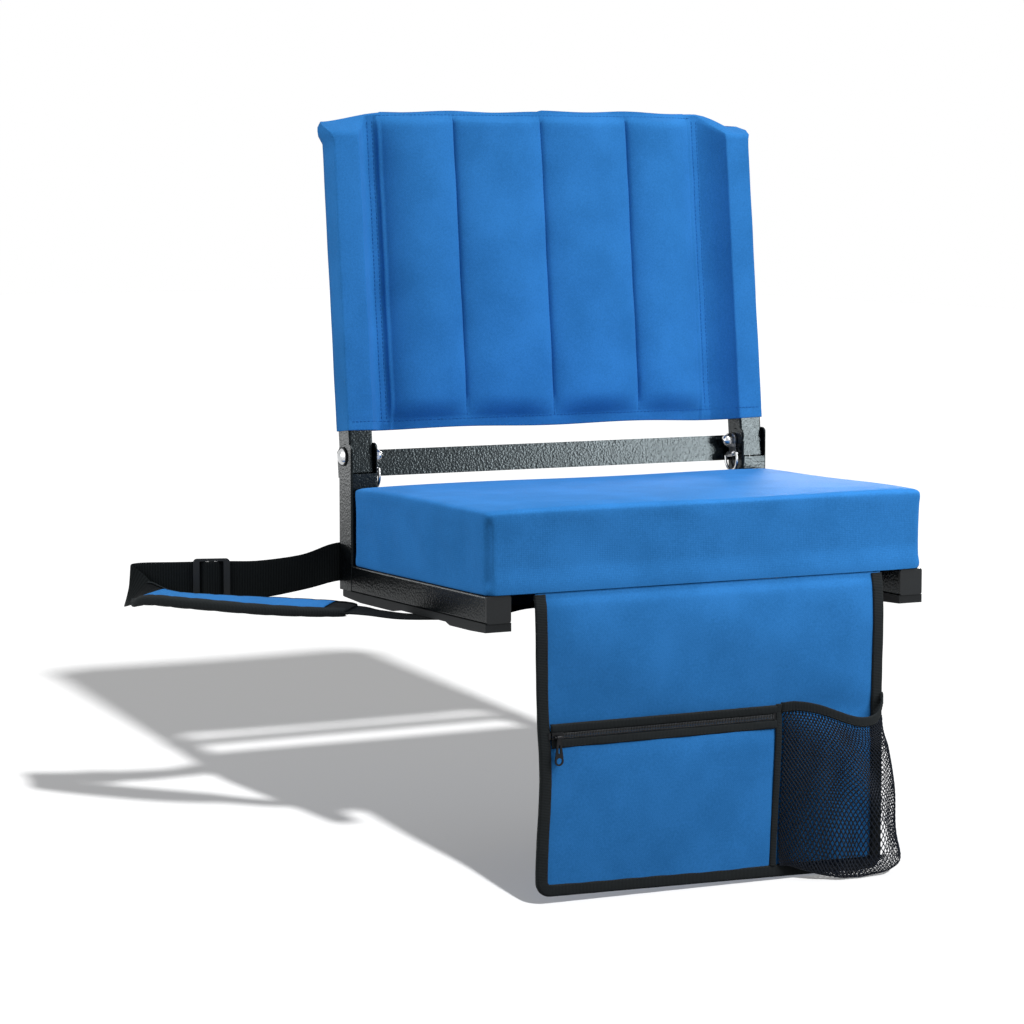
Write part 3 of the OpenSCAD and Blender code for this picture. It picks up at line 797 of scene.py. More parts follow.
def inflate(piece: Obj, voxel: float, pressure: float, cap: float, frames: int = 20, rounds: int = 260) -> None:
    """Swell a closed cover from inside as cloth, and keep the result.

    The mesh becomes even quads, runs as cloth without gravity, and each
    point keeps its move up to the cap.

    Args:
        piece: A closed piece.
        voxel: Size of the quads in millimetres.
        pressure: Pressure inside.
        cap: Longest move of a point in millimetres.
        frames: Steps of the simulation.
        rounds: How often each point's move is evened with its neighbours'.
    """
    grid = piece.modifiers.new("even", "REMESH")
    grid.mode, grid.voxel_size = "VOXEL", voxel * MM
    apply_modifiers(piece)
    start = settled(piece)
    scene = bpy.context.scene
    cloth = piece.modifiers.new("cloth", "CLOTH")
    cloth.point_cache.frame_start, cloth.point_cache.frame_end = 1, frames
    wanted = {"quality": 6, "mass": 0.25, "tension_stiffness": 12.0, "compression_stiffness": 8.0,
              "shear_stiffness": 4.0, "bending_stiffness": 0.25, "use_pressure": True,
              "uniform_pressure_force": pressure}
    for name, value in wanted.items():
        setattr(cloth.settings, name, value)
    cloth.settings.effector_weights.gravity = 0.0
    for step in range(1, frames + 1):
        scene.frame_set(step)
    move = settled(piece) - start
    piece.modifiers.remove(cloth)
    ends = np.empty(len(piece.data.edges) * 2, np.int32)
    piece.data.edges.foreach_get("vertices", ends)
    ends = np.concatenate([ends.reshape(-1, 2), ends.reshape(-1, 2)[:, ::-1]])
    count = np.bincount(ends[:, 0], minlength=len(move))[:, None]
    for _ in range(rounds):
        total = np.stack([np.bincount(ends[:, 0], move[ends[:, 1], k], len(move)) for k in range(3)], -1)
        move = (move + total / count) / 2
    scene.frame_set(1)
    reach = np.linalg.norm(move, axis=1, keepdims=True)
    log.info("%s swelled by up to %.1f mm", piece.name, reach.max())
    move_points(piece, start + move * np.minimum(1.0, cap / np.maximum(reach, 1e-6)))


def give_finish(piece: Obj, finish: Finish) -> None:
    """Put one finish in the place of a piece's materials."""
    piece.data.materials.clear()
    piece.data.materials.append(finish.material())


def dress(piece: Obj, finish: Finish, body: Body, replaces: Sequence[str] = ()) -> Obj:
    """Give a piece its finish and its body, and report it.

    Args:
        piece: The piece, in its place.
        finish: What it is made of.
        body: The body that it moves with.
        replaces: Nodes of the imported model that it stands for.

    Returns:
        The piece.
    """
    give_finish(piece, finish)
    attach(piece, body.value)
    if replaces:
        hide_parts(*replaces)
    log.info("%s: %d faces, rides on %s", piece.name, len(piece.data.polygons), body.value)
    return piece


# ------------------------------------------------------------ sub-assemblies


@dataclass
class CarriedParts:
    """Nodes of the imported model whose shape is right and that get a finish."""

    finishes: Dict[Finish, str] = field(default_factory=lambda: {
        PAINT: "side_tube_left side_tube_right lower_upright_left lower_upright_right front_cross_tube"
               " rear_cross_tube back_tube_left back_tube_right back_crossbar",
        PLASTIC: "front_cap_left front_cap_right foot_cap_left foot_cap_right back_cap_left back_cap_right"
                 " pivot_washers strap_adjuster",
        RUBBER: "runner_left runner_right",
        CHROME: "pivot_bolt_left pivot_bolt_right pivot_nut_left pivot_nut_right d_ring_left d_ring_right",
        ZINC: "runner_screws board_screws strap_screws ring_hanger_left ring_hanger_right",
        PLY: "seat_board",
        ENAMEL: "zip_stops zip_slider zip_pull",
    })

    def build(self) -> None:
        """Swap each node's material."""
        for finish, names in self.finishes.items():
            for name in names.split():
                give_finish(frame["nodes"][name], finish)
                log.info("%s: %s", name, finish.name)


@dataclass
class SeatCushion:
    """The thick foam cushion in its boxed cover."""

    width: float = 483.4
    front: float = -156.6
    rear: float = 123.6
    bottom: float = 34.75
    height: float = 76.0
    crown: float = 2.4
    edge: float = 4.5
    drawn_in: float = 0.4
    corner: float = 5.0
    foot: float = 2.4
    voxel: float = 4.0
    pressure: float = 4.0
    swell: float = 2.0
    arc: int = 12
    straight: int = 44
    seam_width: float = 4.2
    front_crease: float = 2.9
    faint_crease: float = 0.5

    @property
    def mid(self) -> float:
        """Middle of the depth."""
        return (self.front + self.rear) / 2

    def loop(self, w: Array, d: Array, r: Array) -> Array:
        """Rounded rectangles, one a row.

        Each corner is an arc of the radius r about the point r inside both
        sides, and the straight sides are evenly divided lines between arcs.

        Args:
            w: Widths of the rows.
            d: Depths of the rows.
            r: Corner radii of the rows.

        Returns:
            Places of shape (rows, points, 2).
        """
        a = np.linspace(0, math.pi / 2, self.arc)
        quarter = np.arange(4)[:, None]
        angle = (quarter * math.pi / 2 + a).ravel()
        sx = np.repeat([1, -1, -1, 1], self.arc)
        sy = np.repeat([1, 1, -1, -1], self.arc)
        w, d, r = w[:, None], d[:, None], r[:, None]
        arcs = np.stack([sx * (w / 2 - r) + r * np.cos(angle), sy * (d / 2 - r) + r * np.sin(angle)], -1)
        share = np.arange(1, self.straight + 1) / (self.straight + 1)
        last = quarter * self.arc + self.arc - 1
        on_arc = quarter * self.arc + np.arange(self.arc)
        line = np.zeros(self.straight, int)
        first = np.concatenate([on_arc, last + line], 1).ravel()
        second = np.concatenate([on_arc, (last + 1) % (4 * self.arc) + line], 1).ravel()
        part = np.tile(np.concatenate([np.zeros(self.arc), share]), 4)[:, None]
        return arcs[:, first] * (1 - part) + arcs[:, second] * part

    def build(self) -> None:
        """Rows from the middle of the base over the sides to the crowned top.

        The inset of the sides is drawn_in times the sine of the height, the
        edges are quarter circles, and the top rises by crown times 1 - f^2,
        where f is the share of the distance from the middle.
        """
        quarter = np.linspace(0, math.pi / 2, 8)
        flat = np.linspace(0.02, 1, 9)
        up = np.linspace(0, 1, 22)[1:-1]
        top = 1 - np.linspace(0, 0.97, 30)[1:]
        h, e, foot = self.height, self.edge, self.foot
        inset = np.concatenate([np.full(len(flat), foot), foot * (1 - np.sin(quarter)),
                                self.drawn_in * np.sin(math.pi * up), e * (1 - np.cos(quarter)), np.full(len(top), e)])
        scale = np.concatenate([flat, np.ones(2 * len(quarter) + len(up)), top])
        z = np.concatenate([np.zeros(len(flat)), foot * (1 - np.cos(quarter)), foot + (h - e - foot) * up,
                            h - e + e * np.sin(quarter), h + self.crown * (1 - top ** 2)])
        w = (self.width - 2 * inset) * scale
        d = (self.rear - self.front - 2 * inset) * scale
        plan = self.loop(w, d, np.minimum(self.corner * scale, d / 2 - 0.01))
        points = np.concatenate([plan, np.broadcast_to(z[:, None, None], (*plan.shape[:2], 1))], -1)
        points += [0, self.mid, self.bottom]
        cover = surface_mesh("cushion_cover_sewn", points, None, (False, True), (True, True))
        inflate(cover, self.voxel, self.pressure, self.swell)
        smooth = cover.modifiers.new("round", "SUBSURF")
        smooth.levels = smooth.render_levels = 1
        apply_modifiers(cover)
        move_points(cover, self.finish_shape(settled(cover)))
        shade_smooth(cover.data)
        dress(cover, BLUE_SOLID, Body.SEAT, ["cushion_cover", "cushion_foam"])
        self.tape()

    def finish_shape(self, points: Array) -> Array:
        """Seams, creases and the flat base on the swelled cover.

        Each upright corner has a seam that sinks in as a bell curve of the
        distance to it. Shallow waves, which are sines of the run along a
        side, stand on the sides and the top. The base is cut off level.

        Args:
            points: The cover's points.

        Returns:
            The moved points.
        """
        x, y, z = points.T
        half_w, half_d = self.width / 2, (self.rear - self.front) / 2
        px, py = x / half_w, (y - self.mid) / half_d
        rise = z - self.bottom
        belly = np.sin(rise / self.height * math.pi)
        wall = ease(rise, 3, 14) * (1 - ease(rise, self.height - 14, self.height - 4))
        side = ease(np.abs(px), 0.93, 0.985) * wall
        face = ease(np.abs(py), 0.90, 0.975) * wall
        ripple = 0.55 * np.sin(y / 8.3 + 1.2 * np.sin(z / 19)) * belly ** 2 * ease(-x, -50, 0)
        ripple = ripple + 0.7 * np.sin(y / 43 + z / 31)
        calm = 0.6 * np.sin(x / 58 + 0.6) * belly + 0.25 * np.sin(x / 17 + z / 13)
        near = np.hypot(np.abs(x) - half_w + 3.5, np.abs(y - self.mid) - half_d + 3.5)
        deep = np.where((x < 0) & (y < self.mid), self.front_crease, self.faint_crease)
        crease = np.exp(-(near / self.seam_width) ** 2) * wall * deep * 0.7
        lip = ease(-py, 0.93, 0.98) * (1 - ease(rise, 2, 26)) * (1 - ease(np.abs(px), 0.95, 0.99))
        top = ease(rise, self.height - 3, self.height + 1)
        x = x + np.sign(x) * (side * ripple - crease)
        y = (y + np.sign(py) * (face * calm - crease)) * (1 - lip) + (self.front - 0.2) * lip
        z = z + top * 0.7 * np.sin(points[:, 0] / 49 + 0.6) * np.sin(points[:, 1] / 41 + 1.0)
        low = [-half_w - 1.0, self.front - 1.0, self.bottom]
        high = [half_w + 1.4, self.rear + 0.6, self.bottom + self.height + 3.4]
        return np.clip(np.stack([x, y, z], -1), low, high)

    def tape(self) -> None:
        """The sewn tape under the front edge that carries the flap."""
        low, tall = 34.9, 4.3
        x, z = np.meshgrid(np.linspace(-178, 178, 60), np.linspace(low, low + tall, 5), indexing="ij")
        points = np.stack([x, -153.6 - 0.25 * np.sin((z - low) / tall * math.pi), z], -1)
        dress(sheet_mesh("flap_tape_sewn", points, 0.5), BLUE, Body.SEAT, ["flap_tape"])


@dataclass
class BackCover:
    """Sling cover of the backrest: two sleeves and four padded channels.

    Its own coordinates are x, depth d (forwards is negative) and height h
    over the pivot, leant back by the recline.
    """

    recline: float = 6.0
    pivot: Tuple[float, float] = (144.602, 140.4)
    tube_x: float = 225.45
    sleeve: float = 14.25
    bottom: float = 24.0
    shoulder: float = 317.2
    seam_x: float = 183.45
    strip: float = 9.0
    channel_x: float = 99.7
    swell: float = 9.5
    top_edge: float = 341.0
    outer_top: float = 328.5
    wall: float = 1.0
    sharp: float = 75.0

    def lean(self, points: Array) -> Array:
        """Own coordinates turned back by the recline and set on the pivot.

        Args:
            points: Places as x, depth and height.

        Returns:
            The places in the seat's frame.
        """
        c, s = math.cos(math.radians(self.recline)), math.sin(math.radians(self.recline))
        x, d, h = points[..., 0], points[..., 1], points[..., 2]
        return np.stack([x, self.pivot[0] + d * c + h * s, self.pivot[1] - d * s + h * c], -1)

    def front_line(self) -> Tuple[Array, Array, Array]:
        """The front of the cover from side to side.

        Returns:
            x, depth without the padding, and the padding's swell. The swell
            is the 0.62th power of a sine that leans to its left side.
        """
        outer, inner, s = self.tube_x + self.sleeve, self.tube_x - self.sleeve, self.sleeve
        bend = np.linspace(0, math.pi / 2, 5)
        side_x = np.concatenate([[-outer] * 3, -outer + 2.2 * (1 - np.cos(bend)),
                                 np.linspace(-outer + 8, -inner - 8, 6), -inner - 2.2 + 2.2 * np.sin(bend),
                                 [-(inner + self.seam_x + self.strip) / 2]])
        side_d = np.concatenate([[s - 2, 4, -6], -s + 2.2 * (1 - np.sin(bend)), np.full(6, -s),
                                 -s + 2.6 * (1 - np.cos(bend)), [-0.5]])
        strip_x = np.linspace(-self.seam_x - self.strip, -self.seam_x, 6)[:-1]
        back = s - 3.6
        marks = np.array([-self.seam_x, -self.channel_x, 0, self.channel_x, self.seam_x])[:, None]
        depths = np.array([back, -1.0, -1.0, -1.0, back])[:, None]
        u = np.linspace(0, 1, 34)[None, :-1]
        share = u - 0.055 * np.sin(2 * math.pi * u)
        xs = marks[:-1] + (marks[1:] - marks[:-1]) * share
        falls = [np.sin(share * math.pi / 2), share, share, 1 - np.cos(share * math.pi / 2)]
        base = depths[:-1] + (depths[1:] - depths[:-1]) * np.concatenate(falls)
        swell = np.tile(np.sin(math.pi * share ** 0.94) ** 0.62, (4, 1))
        level, still = np.full(len(strip_x), back), np.zeros(len(side_x) + len(strip_x))
        x = np.concatenate([side_x, strip_x, xs.ravel(), [self.seam_x], -strip_x[::-1], -side_x[::-1]])
        d = np.concatenate([side_d, level, base.ravel(), [back], level, side_d[::-1]])
        pad = np.concatenate([still, swell.ravel(), [0.0], still])
        return x, d, pad

    def top_line(self, x: Array) -> Array:
        """Height of the top edge.

        Args:
            x: Places across it.

        Returns:
            The heights: level over the panel with a dip in each channel, and
            sloping down over the sleeves.
        """
        outer, size = self.tube_x + self.sleeve, np.abs(x)
        run = np.clip((size - 177) / (outer - 180), 0, 1)
        left_slope = 0.7 * run + 0.3 * run ** 2 * (3 - 2 * run)
        right_slope = np.minimum(ease(size, self.seam_x + 4, outer + 30) * 2.0, 1.0)
        dip = 1.3 * np.sin(math.pi * size / self.channel_x) ** 2 * (size < self.channel_x * 1.9)
        drop = self.top_edge - self.outer_top - 2.4 * (x < 0)
        return self.top_edge + 0.6 * np.sign(x) - drop * np.where(x < 0, left_slope, right_slope) - dip

    def low_line(self, x: Array) -> Array:
        """Height of the hem: a little lower on the right, with a slow wave."""
        return self.bottom - 1.2 * np.sign(x) * ease(np.abs(x), 20, 200) - 0.8 * np.cos(x / 31)

    def nub(self, x: Array, h: Array) -> Array:
        """Sideways bulge of the folded corners.

        Args:
            x: Places across the cover.
            h: Heights.

        Returns:
            The bulge: a round bell on the left and a point on the right.
        """
        left = 4.6 * np.exp(-((h - 320.5) / 8.5) ** 4) * ease(-x, self.tube_x + 6, self.tube_x + 13)
        right = 6.0 * np.exp(-np.abs(h - 324.0) / 4.5) * ease(x, self.tube_x + 7, self.tube_x + 14)
        return right - left

    def build(self) -> None:
        """Front and back cloth as one closed loop of points, carried up the height."""
        x, d, pad = self.front_line()
        s = self.sleeve
        body = np.concatenate([[0, 0.004, 0.012, 0.024, 0.034, 0.040, 0.052], np.linspace(0.075, 0.93, 34),
                               [0.955, 0.972, 0.985, 1.0]])[:, None]
        over = np.linspace(0, 1, 11)[1:, None]
        on_panel = np.abs(x) < self.seam_x + self.strip + 2
        low, top = self.low_line(x), self.top_line(x)
        shoulder = self.shoulder + (top - self.shoulder - 1.0) * np.clip((d + s) / (2 * s - 1.5), 0, 1)
        h = np.concatenate([low + (shoulder - low) * body, shoulder + (top - shoulder) * over])
        taper = ease(h, low + 6, low + 27) * (1 - ease(h, 327, 341))
        groove = np.exp(-((h - low - 9.5) / 1.0) ** 2) + 0.6 * np.exp(-((h - top + 3.2) / 0.9) ** 2)
        wander = 0.35 * np.sin(h / 23 + x / 17) + 0.25 * np.sin(h / 9.7 - x / 41)
        depth = d + 2.0 * (np.abs(x) < self.seam_x - 4) + (1 - ease(h, low, low + 7)) * on_panel * 1.2
        depth = depth - (self.swell + 2.0) * pad * taper * (1 + 0.05 * np.sin(h / 60 + x / 50))
        depth = depth + wander * (0.3 + 0.7 * taper) * np.where(on_panel, 1.0, 0.6)
        depth = depth + 0.7 * groove * np.where(on_panel, 1, 0.5)
        lift = np.concatenate([0 * body, over]) ** np.where(on_panel, 2.0, 1.15)
        depth = depth * (1 - lift) + np.where(on_panel, np.minimum(d + 3.0, 13.0), 12.6) * lift
        front = np.stack([x + self.nub(x, h), depth, h], -1)
        rear = self.rear_cloth(np.linspace(x[-1], x[0], 90)[1:-1], np.concatenate([body * 0.955, 0.955 + over * 0.045]),
                               x, depth)
        points = self.lean(np.concatenate([front, rear], 1))
        round_it = (False, True)
        cover = surface_mesh("back_cover_sewn", points, cloth_uv(points, round_it), round_it, round_it, self.sharp)
        outwards(cover.data)
        cover.data.set_sharp_from_angle(angle=math.radians(self.sharp))
        thicken(cover, self.wall)
        dress(cover, BLUE, Body.BACK, ["back_cover", "back_foam_1", "back_foam_2", "back_foam_3", "back_foam_4"])
        self.stitches(x, h, depth)

    def rear_cloth(self, x: Array, share: Array, front_x: Array, depth: Array) -> Array:
        """The back of the cover, flat behind the sleeves and sunk at each seam.

        Args:
            x: Places across it.
            share: Heights of its rows as a share of the whole.
            front_x: Places across the front, which it joins at both hems.
            depth: Depths of the front cloth's grid.

        Returns:
            The grid of places in the cover's own coordinates.
        """
        low, top = self.low_line(x), self.top_line(x)
        h = low + (top - low) * share
        marks = (-self.channel_x, 0, self.channel_x, -self.seam_x - 4, self.seam_x + 4)
        seams = sum(np.exp(-((x - mark) / 3.2) ** 2) for mark in marks)
        flat = self.sleeve + 0.25 * np.sin(h / 37 + x / 29)
        flat = flat - 2.2 * seams * ease(h, low + 4, low + 20) * (1 - ease(h, 318, 336))
        up = ease(h, top - 16, top - 0.2)
        down = (1 - ease(h, low, low + 15)) * (np.abs(x) < self.seam_x + self.strip)
        flat = flat * (1 - up) + (np.interp(x, front_x, depth[-1]) + 0.9) * up
        flat = flat * (1 - down) + (np.interp(x, front_x, depth[0]) + 2.2) * down
        return np.stack([x + self.nub(x, h), flat, h], -1)

    def stitches(self, x: Array, h: Array, depth: Array) -> None:
        """Rows of stitches beside the sleeves, in the channel seams and along both hems.

        Args:
            x: Places of the front line.
            h: Heights of the front cloth's grid.
            depth: Depths of the front cloth's grid.
        """
        rows: List[Tuple[str, Array]] = []
        for mark in (-self.seam_x - self.strip + 1, -self.seam_x - 1.2, -self.channel_x, 0.0, self.channel_x,
                     self.seam_x + 1.2, self.seam_x + self.strip - 1):
            k = int(np.argmin(np.abs(x - mark)))
            use = (h[:, k] > 33) & (h[:, k] < self.top_edge - 6)
            rows.append((f"back_seam_{k}", np.stack([np.full(use.sum(), x[k]), depth[use, k] - 0.1, h[use, k]], -1)))
        span = np.linspace(-self.tube_x - 10, self.tube_x + 10, 240)
        for name, height, across in (("back_hem_low", 33.4, span),
                                     ("back_hem_top", self.top_edge - 4.2, span[np.abs(span) < self.seam_x])):
            near = [int(np.argmin(np.abs(x - value))) for value in across]
            deep = [np.interp(height, h[:, k], depth[:, k]) - 0.15 for k in near]
            rows.append((name, np.stack([across, deep, np.full(len(across), height)], -1)))
        for name, row in rows:
            COVER_THREAD.sew(name, self.lean(row), Body.BACK, (0.0, -1.0, 0.1))


@dataclass
class FlapCloth:
    """The hanging flap as a cloth that all its layers lie on.

    A place on it is a across and b down from its top edge.
    """

    width: float = 382.0
    height: float = 287.0
    top: float = 34.6
    plane: float = -155.9
    drawn_in: float = 5.0
    skewed: float = 4.6
    belly: float = 6.6

    def place(self, a: Array, b: Array, lift: Any = 0.0) -> Array:
        """Where a point of the cloth hangs.

        Args:
            a: Distance to the right of the middle.
            b: Distance below the top edge.
            lift: Distance in front of the cloth.

        Returns:
            The places. The left edge draws in by a bell curve, the lower
            edge leans to the right, and shallow waves grow downwards.
        """
        a, b = np.broadcast_arrays(np.asarray(a, float), np.asarray(b, float))
        t = np.clip(b / self.height, 0.0, 1.0)
        left = np.exp(-((b - 172) / 62) ** 2) * self.drawn_in * ease(-a, 60, 191)
        x = a + left + 1.2 * t
        skew = -self.skewed * (a / 191) * ease(b, 148, 296)
        calm = 1 - np.exp(-((b - 134) / 15) ** 2)
        upper = np.sin(math.pi * np.clip(b / 124, 0, 1))
        wave = 0.8 * np.sin(a / 41 + 0.7 + b / 90) * np.sin(math.pi * t) + 0.7 * np.sin(b / 52 - a / 120) * t
        wave = wave + upper * np.sin(a / 27 - b / 24 + 1.9)
        wave = wave + upper * 0.8 * np.sin(a / 15 + b / 19) * np.sin(a / 70 + 0.5)
        belly = self.belly * np.sin(math.pi * np.clip(b / 128, 0, 1) ** 0.62) * ease(b, 2, 12)
        hang = belly + (1.2 * np.sin(math.pi * t) + wave * ease(b, 3, 45)) * calm
        edge = 1.0 - 0.45 * ease(np.abs(a), 150, 191)
        plane = self.plane + 0.7 * (1 - ease(b, 4, 60))
        return np.stack([x, plane - hang * 0.8 * edge - lift, self.top - b * 0.9965 + skew], -1)

    def outline(self, corner: float, count: int) -> Tuple[Array, Array]:
        """The edge of the cloth from the top left down, along and up.

        Args:
            corner: Corner radius of the edge.
            count: Points along each straight run.

        Returns:
            Places (a, b) and the inward directions there.
        """
        w, h, r = self.width / 2, self.height, corner
        arc = np.linspace(0, math.pi / 2, 9)
        down = np.linspace(1.5, h - r, count)
        zeros, ones = np.zeros(count), np.ones(count)
        runs = [((-w * ones, down), (ones, zeros)),
                ((-w + r - r * np.cos(arc), h - r + r * np.sin(arc)), (np.cos(arc), -np.sin(arc))),
                ((np.linspace(-w + r, w - r, count), h * ones), (zeros, -ones)),
                ((w - r + r * np.sin(arc), h - r + r * np.cos(arc)), (-np.sin(arc), -np.cos(arc))),
                ((w * ones, down[::-1]), (-ones, zeros))]
        places, inward = (np.concatenate([np.stack(run[k], -1)[min(i, 1):] for i, run in enumerate(runs)])
                          for k in (0, 1))
        return places, inward


@dataclass
class PocketFlap:
    """The hanging flap with its binding, zip pocket and zip."""

    cloth: FlapCloth = field(default_factory=FlapCloth)
    binding: float = 11.5
    zip_top: float = 122.0
    band: float = 22.5
    seam_at: float = 70.0
    coil_at: float = 133.5
    foot: float = 286.2
    corner: float = 13.0
    sheet: Optional[Obj] = None

    def build(self) -> None:
        """Panel, pocket, tapes, coil and binding, from the back to the front."""
        self.panel()
        self.pocket()
        self.bands()
        self.coil()
        self.edge()

    def panel(self) -> None:
        """The blue cloth behind everything, a plain grid of the cloth's places."""
        a, b = np.meshgrid(np.linspace(-190, 190, 110), np.linspace(0.3, self.foot, 90))
        b = self.round_foot(b, (np.abs(a) - (190 - self.corner)) / self.corner, 200.0, self.foot)
        self.sheet = sheet_mesh("flap_panel_cloth", self.cloth.place(a, b), 0.9, 0.0)
        dress(self.sheet, BLUE, Body.FLAP, ["flap_panel"])

    def round_foot(self, b: Array, over: Array, start: float, foot: float) -> Array:
        """Lift the lower corners of a grid on a circle.

        Args:
            b: Distances below the top edge.
            over: How far each place is into a corner, 1 at its end.
            start: Where the rows begin to close up.
            foot: The lower edge.

        Returns:
            The distances, closed up towards the circle below the start.
        """
        limit = foot - self.corner * (1 - np.sqrt(1 - np.clip(over, 0, 1) ** 2))
        return np.where(b > start, start + (b - start) * (limit - start) / (foot - start), b)

    def pocket(self) -> None:
        """The front of the zip pocket, swelling by up to 3 mm in its middle."""
        left, right, top, foot = -188.0, self.seam_at + 2, self.zip_top + self.band - 3, self.foot - 0.8
        a, b = np.meshgrid(np.linspace(left, right, 80), np.linspace(top, foot, 60))
        u, v = (a - left) / (right - left), (b - top) / (foot - top)
        swell = 3.0 * (np.sin(math.pi * u) ** 0.6) * (np.sin(math.pi * np.clip(v * 0.92 + 0.04, 0, 1)) ** 0.6)
        pucker = 0.5 * np.sin(a / 13 + 0.3 * np.sin(b / 19)) * (1 - ease(v, 0, 0.22)) + 0.6 * np.sin(b / 21 + a / 33)
        b = self.round_foot(b, np.where(a < 0, (np.abs(a) - 176) / self.corner, 0.0), 220.0, foot)
        front = sheet_mesh("zip_pocket_cloth", self.cloth.place(a, b, 1.5 + swell + pucker * 0.5), 0.7, 0.0)
        dress(front, BLUE, Body.FLAP, ["zip_pocket"])

    def strip(self, name: str, a: Tuple[float, float], b: Tuple[float, float], lift: float, bow: float, down: bool,
              replaces: Sequence[str] = ()) -> Obj:
        """A flat tape on the flap with softly rolled edges.

        Args:
            name: Name of the piece.
            a: Its left and right ends.
            b: Its upper and lower edges.
            lift: How far it lies in front of the cloth.
            bow: How far its middle stands out over its edges.
            down: Whether it runs down the flap and not across it.
            replaces: Nodes that it stands for.

        Returns:
            The tape.
        """
        (first, last), (low, high) = (b, a) if down else (a, b)
        s, c = np.meshgrid(np.linspace(first, last, 90), np.linspace(0, 1, 9))
        edge = np.where((c < 0.02) | (c > 0.98), -0.5, 0.0)
        rise = lift + bow * np.sin(math.pi * c) + edge + 0.15 * np.sin(s / 7.3)
        other = low + c * (high - low) - 6.0 * ease(s, 130, 290) * down
        points = self.cloth.place(other, s, rise) if down else self.cloth.place(s, other, rise)
        uv = np.stack([c * abs(high - low), s], -1)
        return dress(sheet_mesh(name, points, 0.8, 0.0, uv), TAPE, Body.FLAP, replaces)

    def bands(self) -> None:
        """The upper band, the two halves of the zip tape and the pocket seam."""
        left, right, top = -179.0, self.seam_at + 4, self.zip_top
        self.strip("zip_band_upper", (left, right + 4), (top, top + 8.6), 3.0, 0.5, False, ["zip_tape"])
        self.strip("zip_tape_upper", (left, right), (top + 7.0, top + 11.0), 2.0, 0.0, False)
        self.strip("zip_tape_lower", (left, right), (top + 14.4, top + self.band), 3.2, 0.3, False)
        self.strip("pocket_seam_tape", (self.seam_at - 1.0, self.seam_at + 6.0), (top - 1, 277.0), 3.1, 0.5, True,
                   ["pocket_seam"])
        for name, b in (("zip_stitch_upper", top + 1.4), ("zip_stitch_lower", top + self.band - 1.3)):
            BAND_THREAD.sew(name, self.cloth.place(np.linspace(left, right, 120), b, 3.55), Body.FLAP)

    def coil(self) -> None:
        """The zip's coil: an oval helix along the tape, 1.75 mm a turn."""
        start, end, pitch = -171.0, 66.0, 1.75
        turns = (end - start) / pitch
        angle = np.linspace(0, 2 * math.pi * turns, int(turns * 10))
        a = start + (end - start) * angle / angle[-1]
        line = self.cloth.place(a, self.coil_at - 2.5 * np.sin(angle), 3.3 + 0.95 * np.cos(angle))
        dress(coil_rod("zip_coil_wound", line, 0.48, 5), COIL, Body.FLAP, ["zip_coil"])

    def edge(self) -> None:
        """The folded binding: a flat U carried round the cloth's edge."""
        path, inward = self.cloth.outline(14.0, 60)
        u = np.linspace(0, 1, 9)[1:-1]
        w, front = self.binding, 3.3
        span = np.linspace(0.6, w - 1.5, 7)
        across = np.concatenate([[w, w - 0.4], span[::-1], [0.0, -0.5, -0.5, 0.0], span, [w - 0.4, w]])
        lift = np.concatenate([[0.9, front - 0.4], front + 0.35 * np.sin(math.pi * u), [front - 0.4, 2.0, 0.2, -1.1],
                               -1.5 - 0.2 * np.sin(math.pi * u), [-1.2, -0.7]])
        a, b = (path[:, None, k] + inward[:, None, k] * across for k in (0, 1))
        run = lengths(path)
        full = 0.62 + 0.38 * ease(path[:, 1], 108, 128)
        rise = np.where(lift > 0, lift * full[:, None], lift) + 0.12 * np.sin(run / 5.3)[:, None]
        uv = grid_uv(run, lengths(np.stack([across, lift, 0 * lift], -1)))
        uv = np.concatenate([uv, uv[:, :1] + [30, 0]], 1)
        bind = bar_mesh("flap_binding_tape", self.cloth.place(a, np.maximum(b, 0.6), rise), uv)
        dress(bind, TAPE, Body.FLAP, ["flap_binding"])
        a, b = (path + inward * (w - 1.6)).T
        BINDING_THREAD.sew("binding_stitch", self.cloth.place(a, b, front * full + 0.15)[3:-3], Body.FLAP)


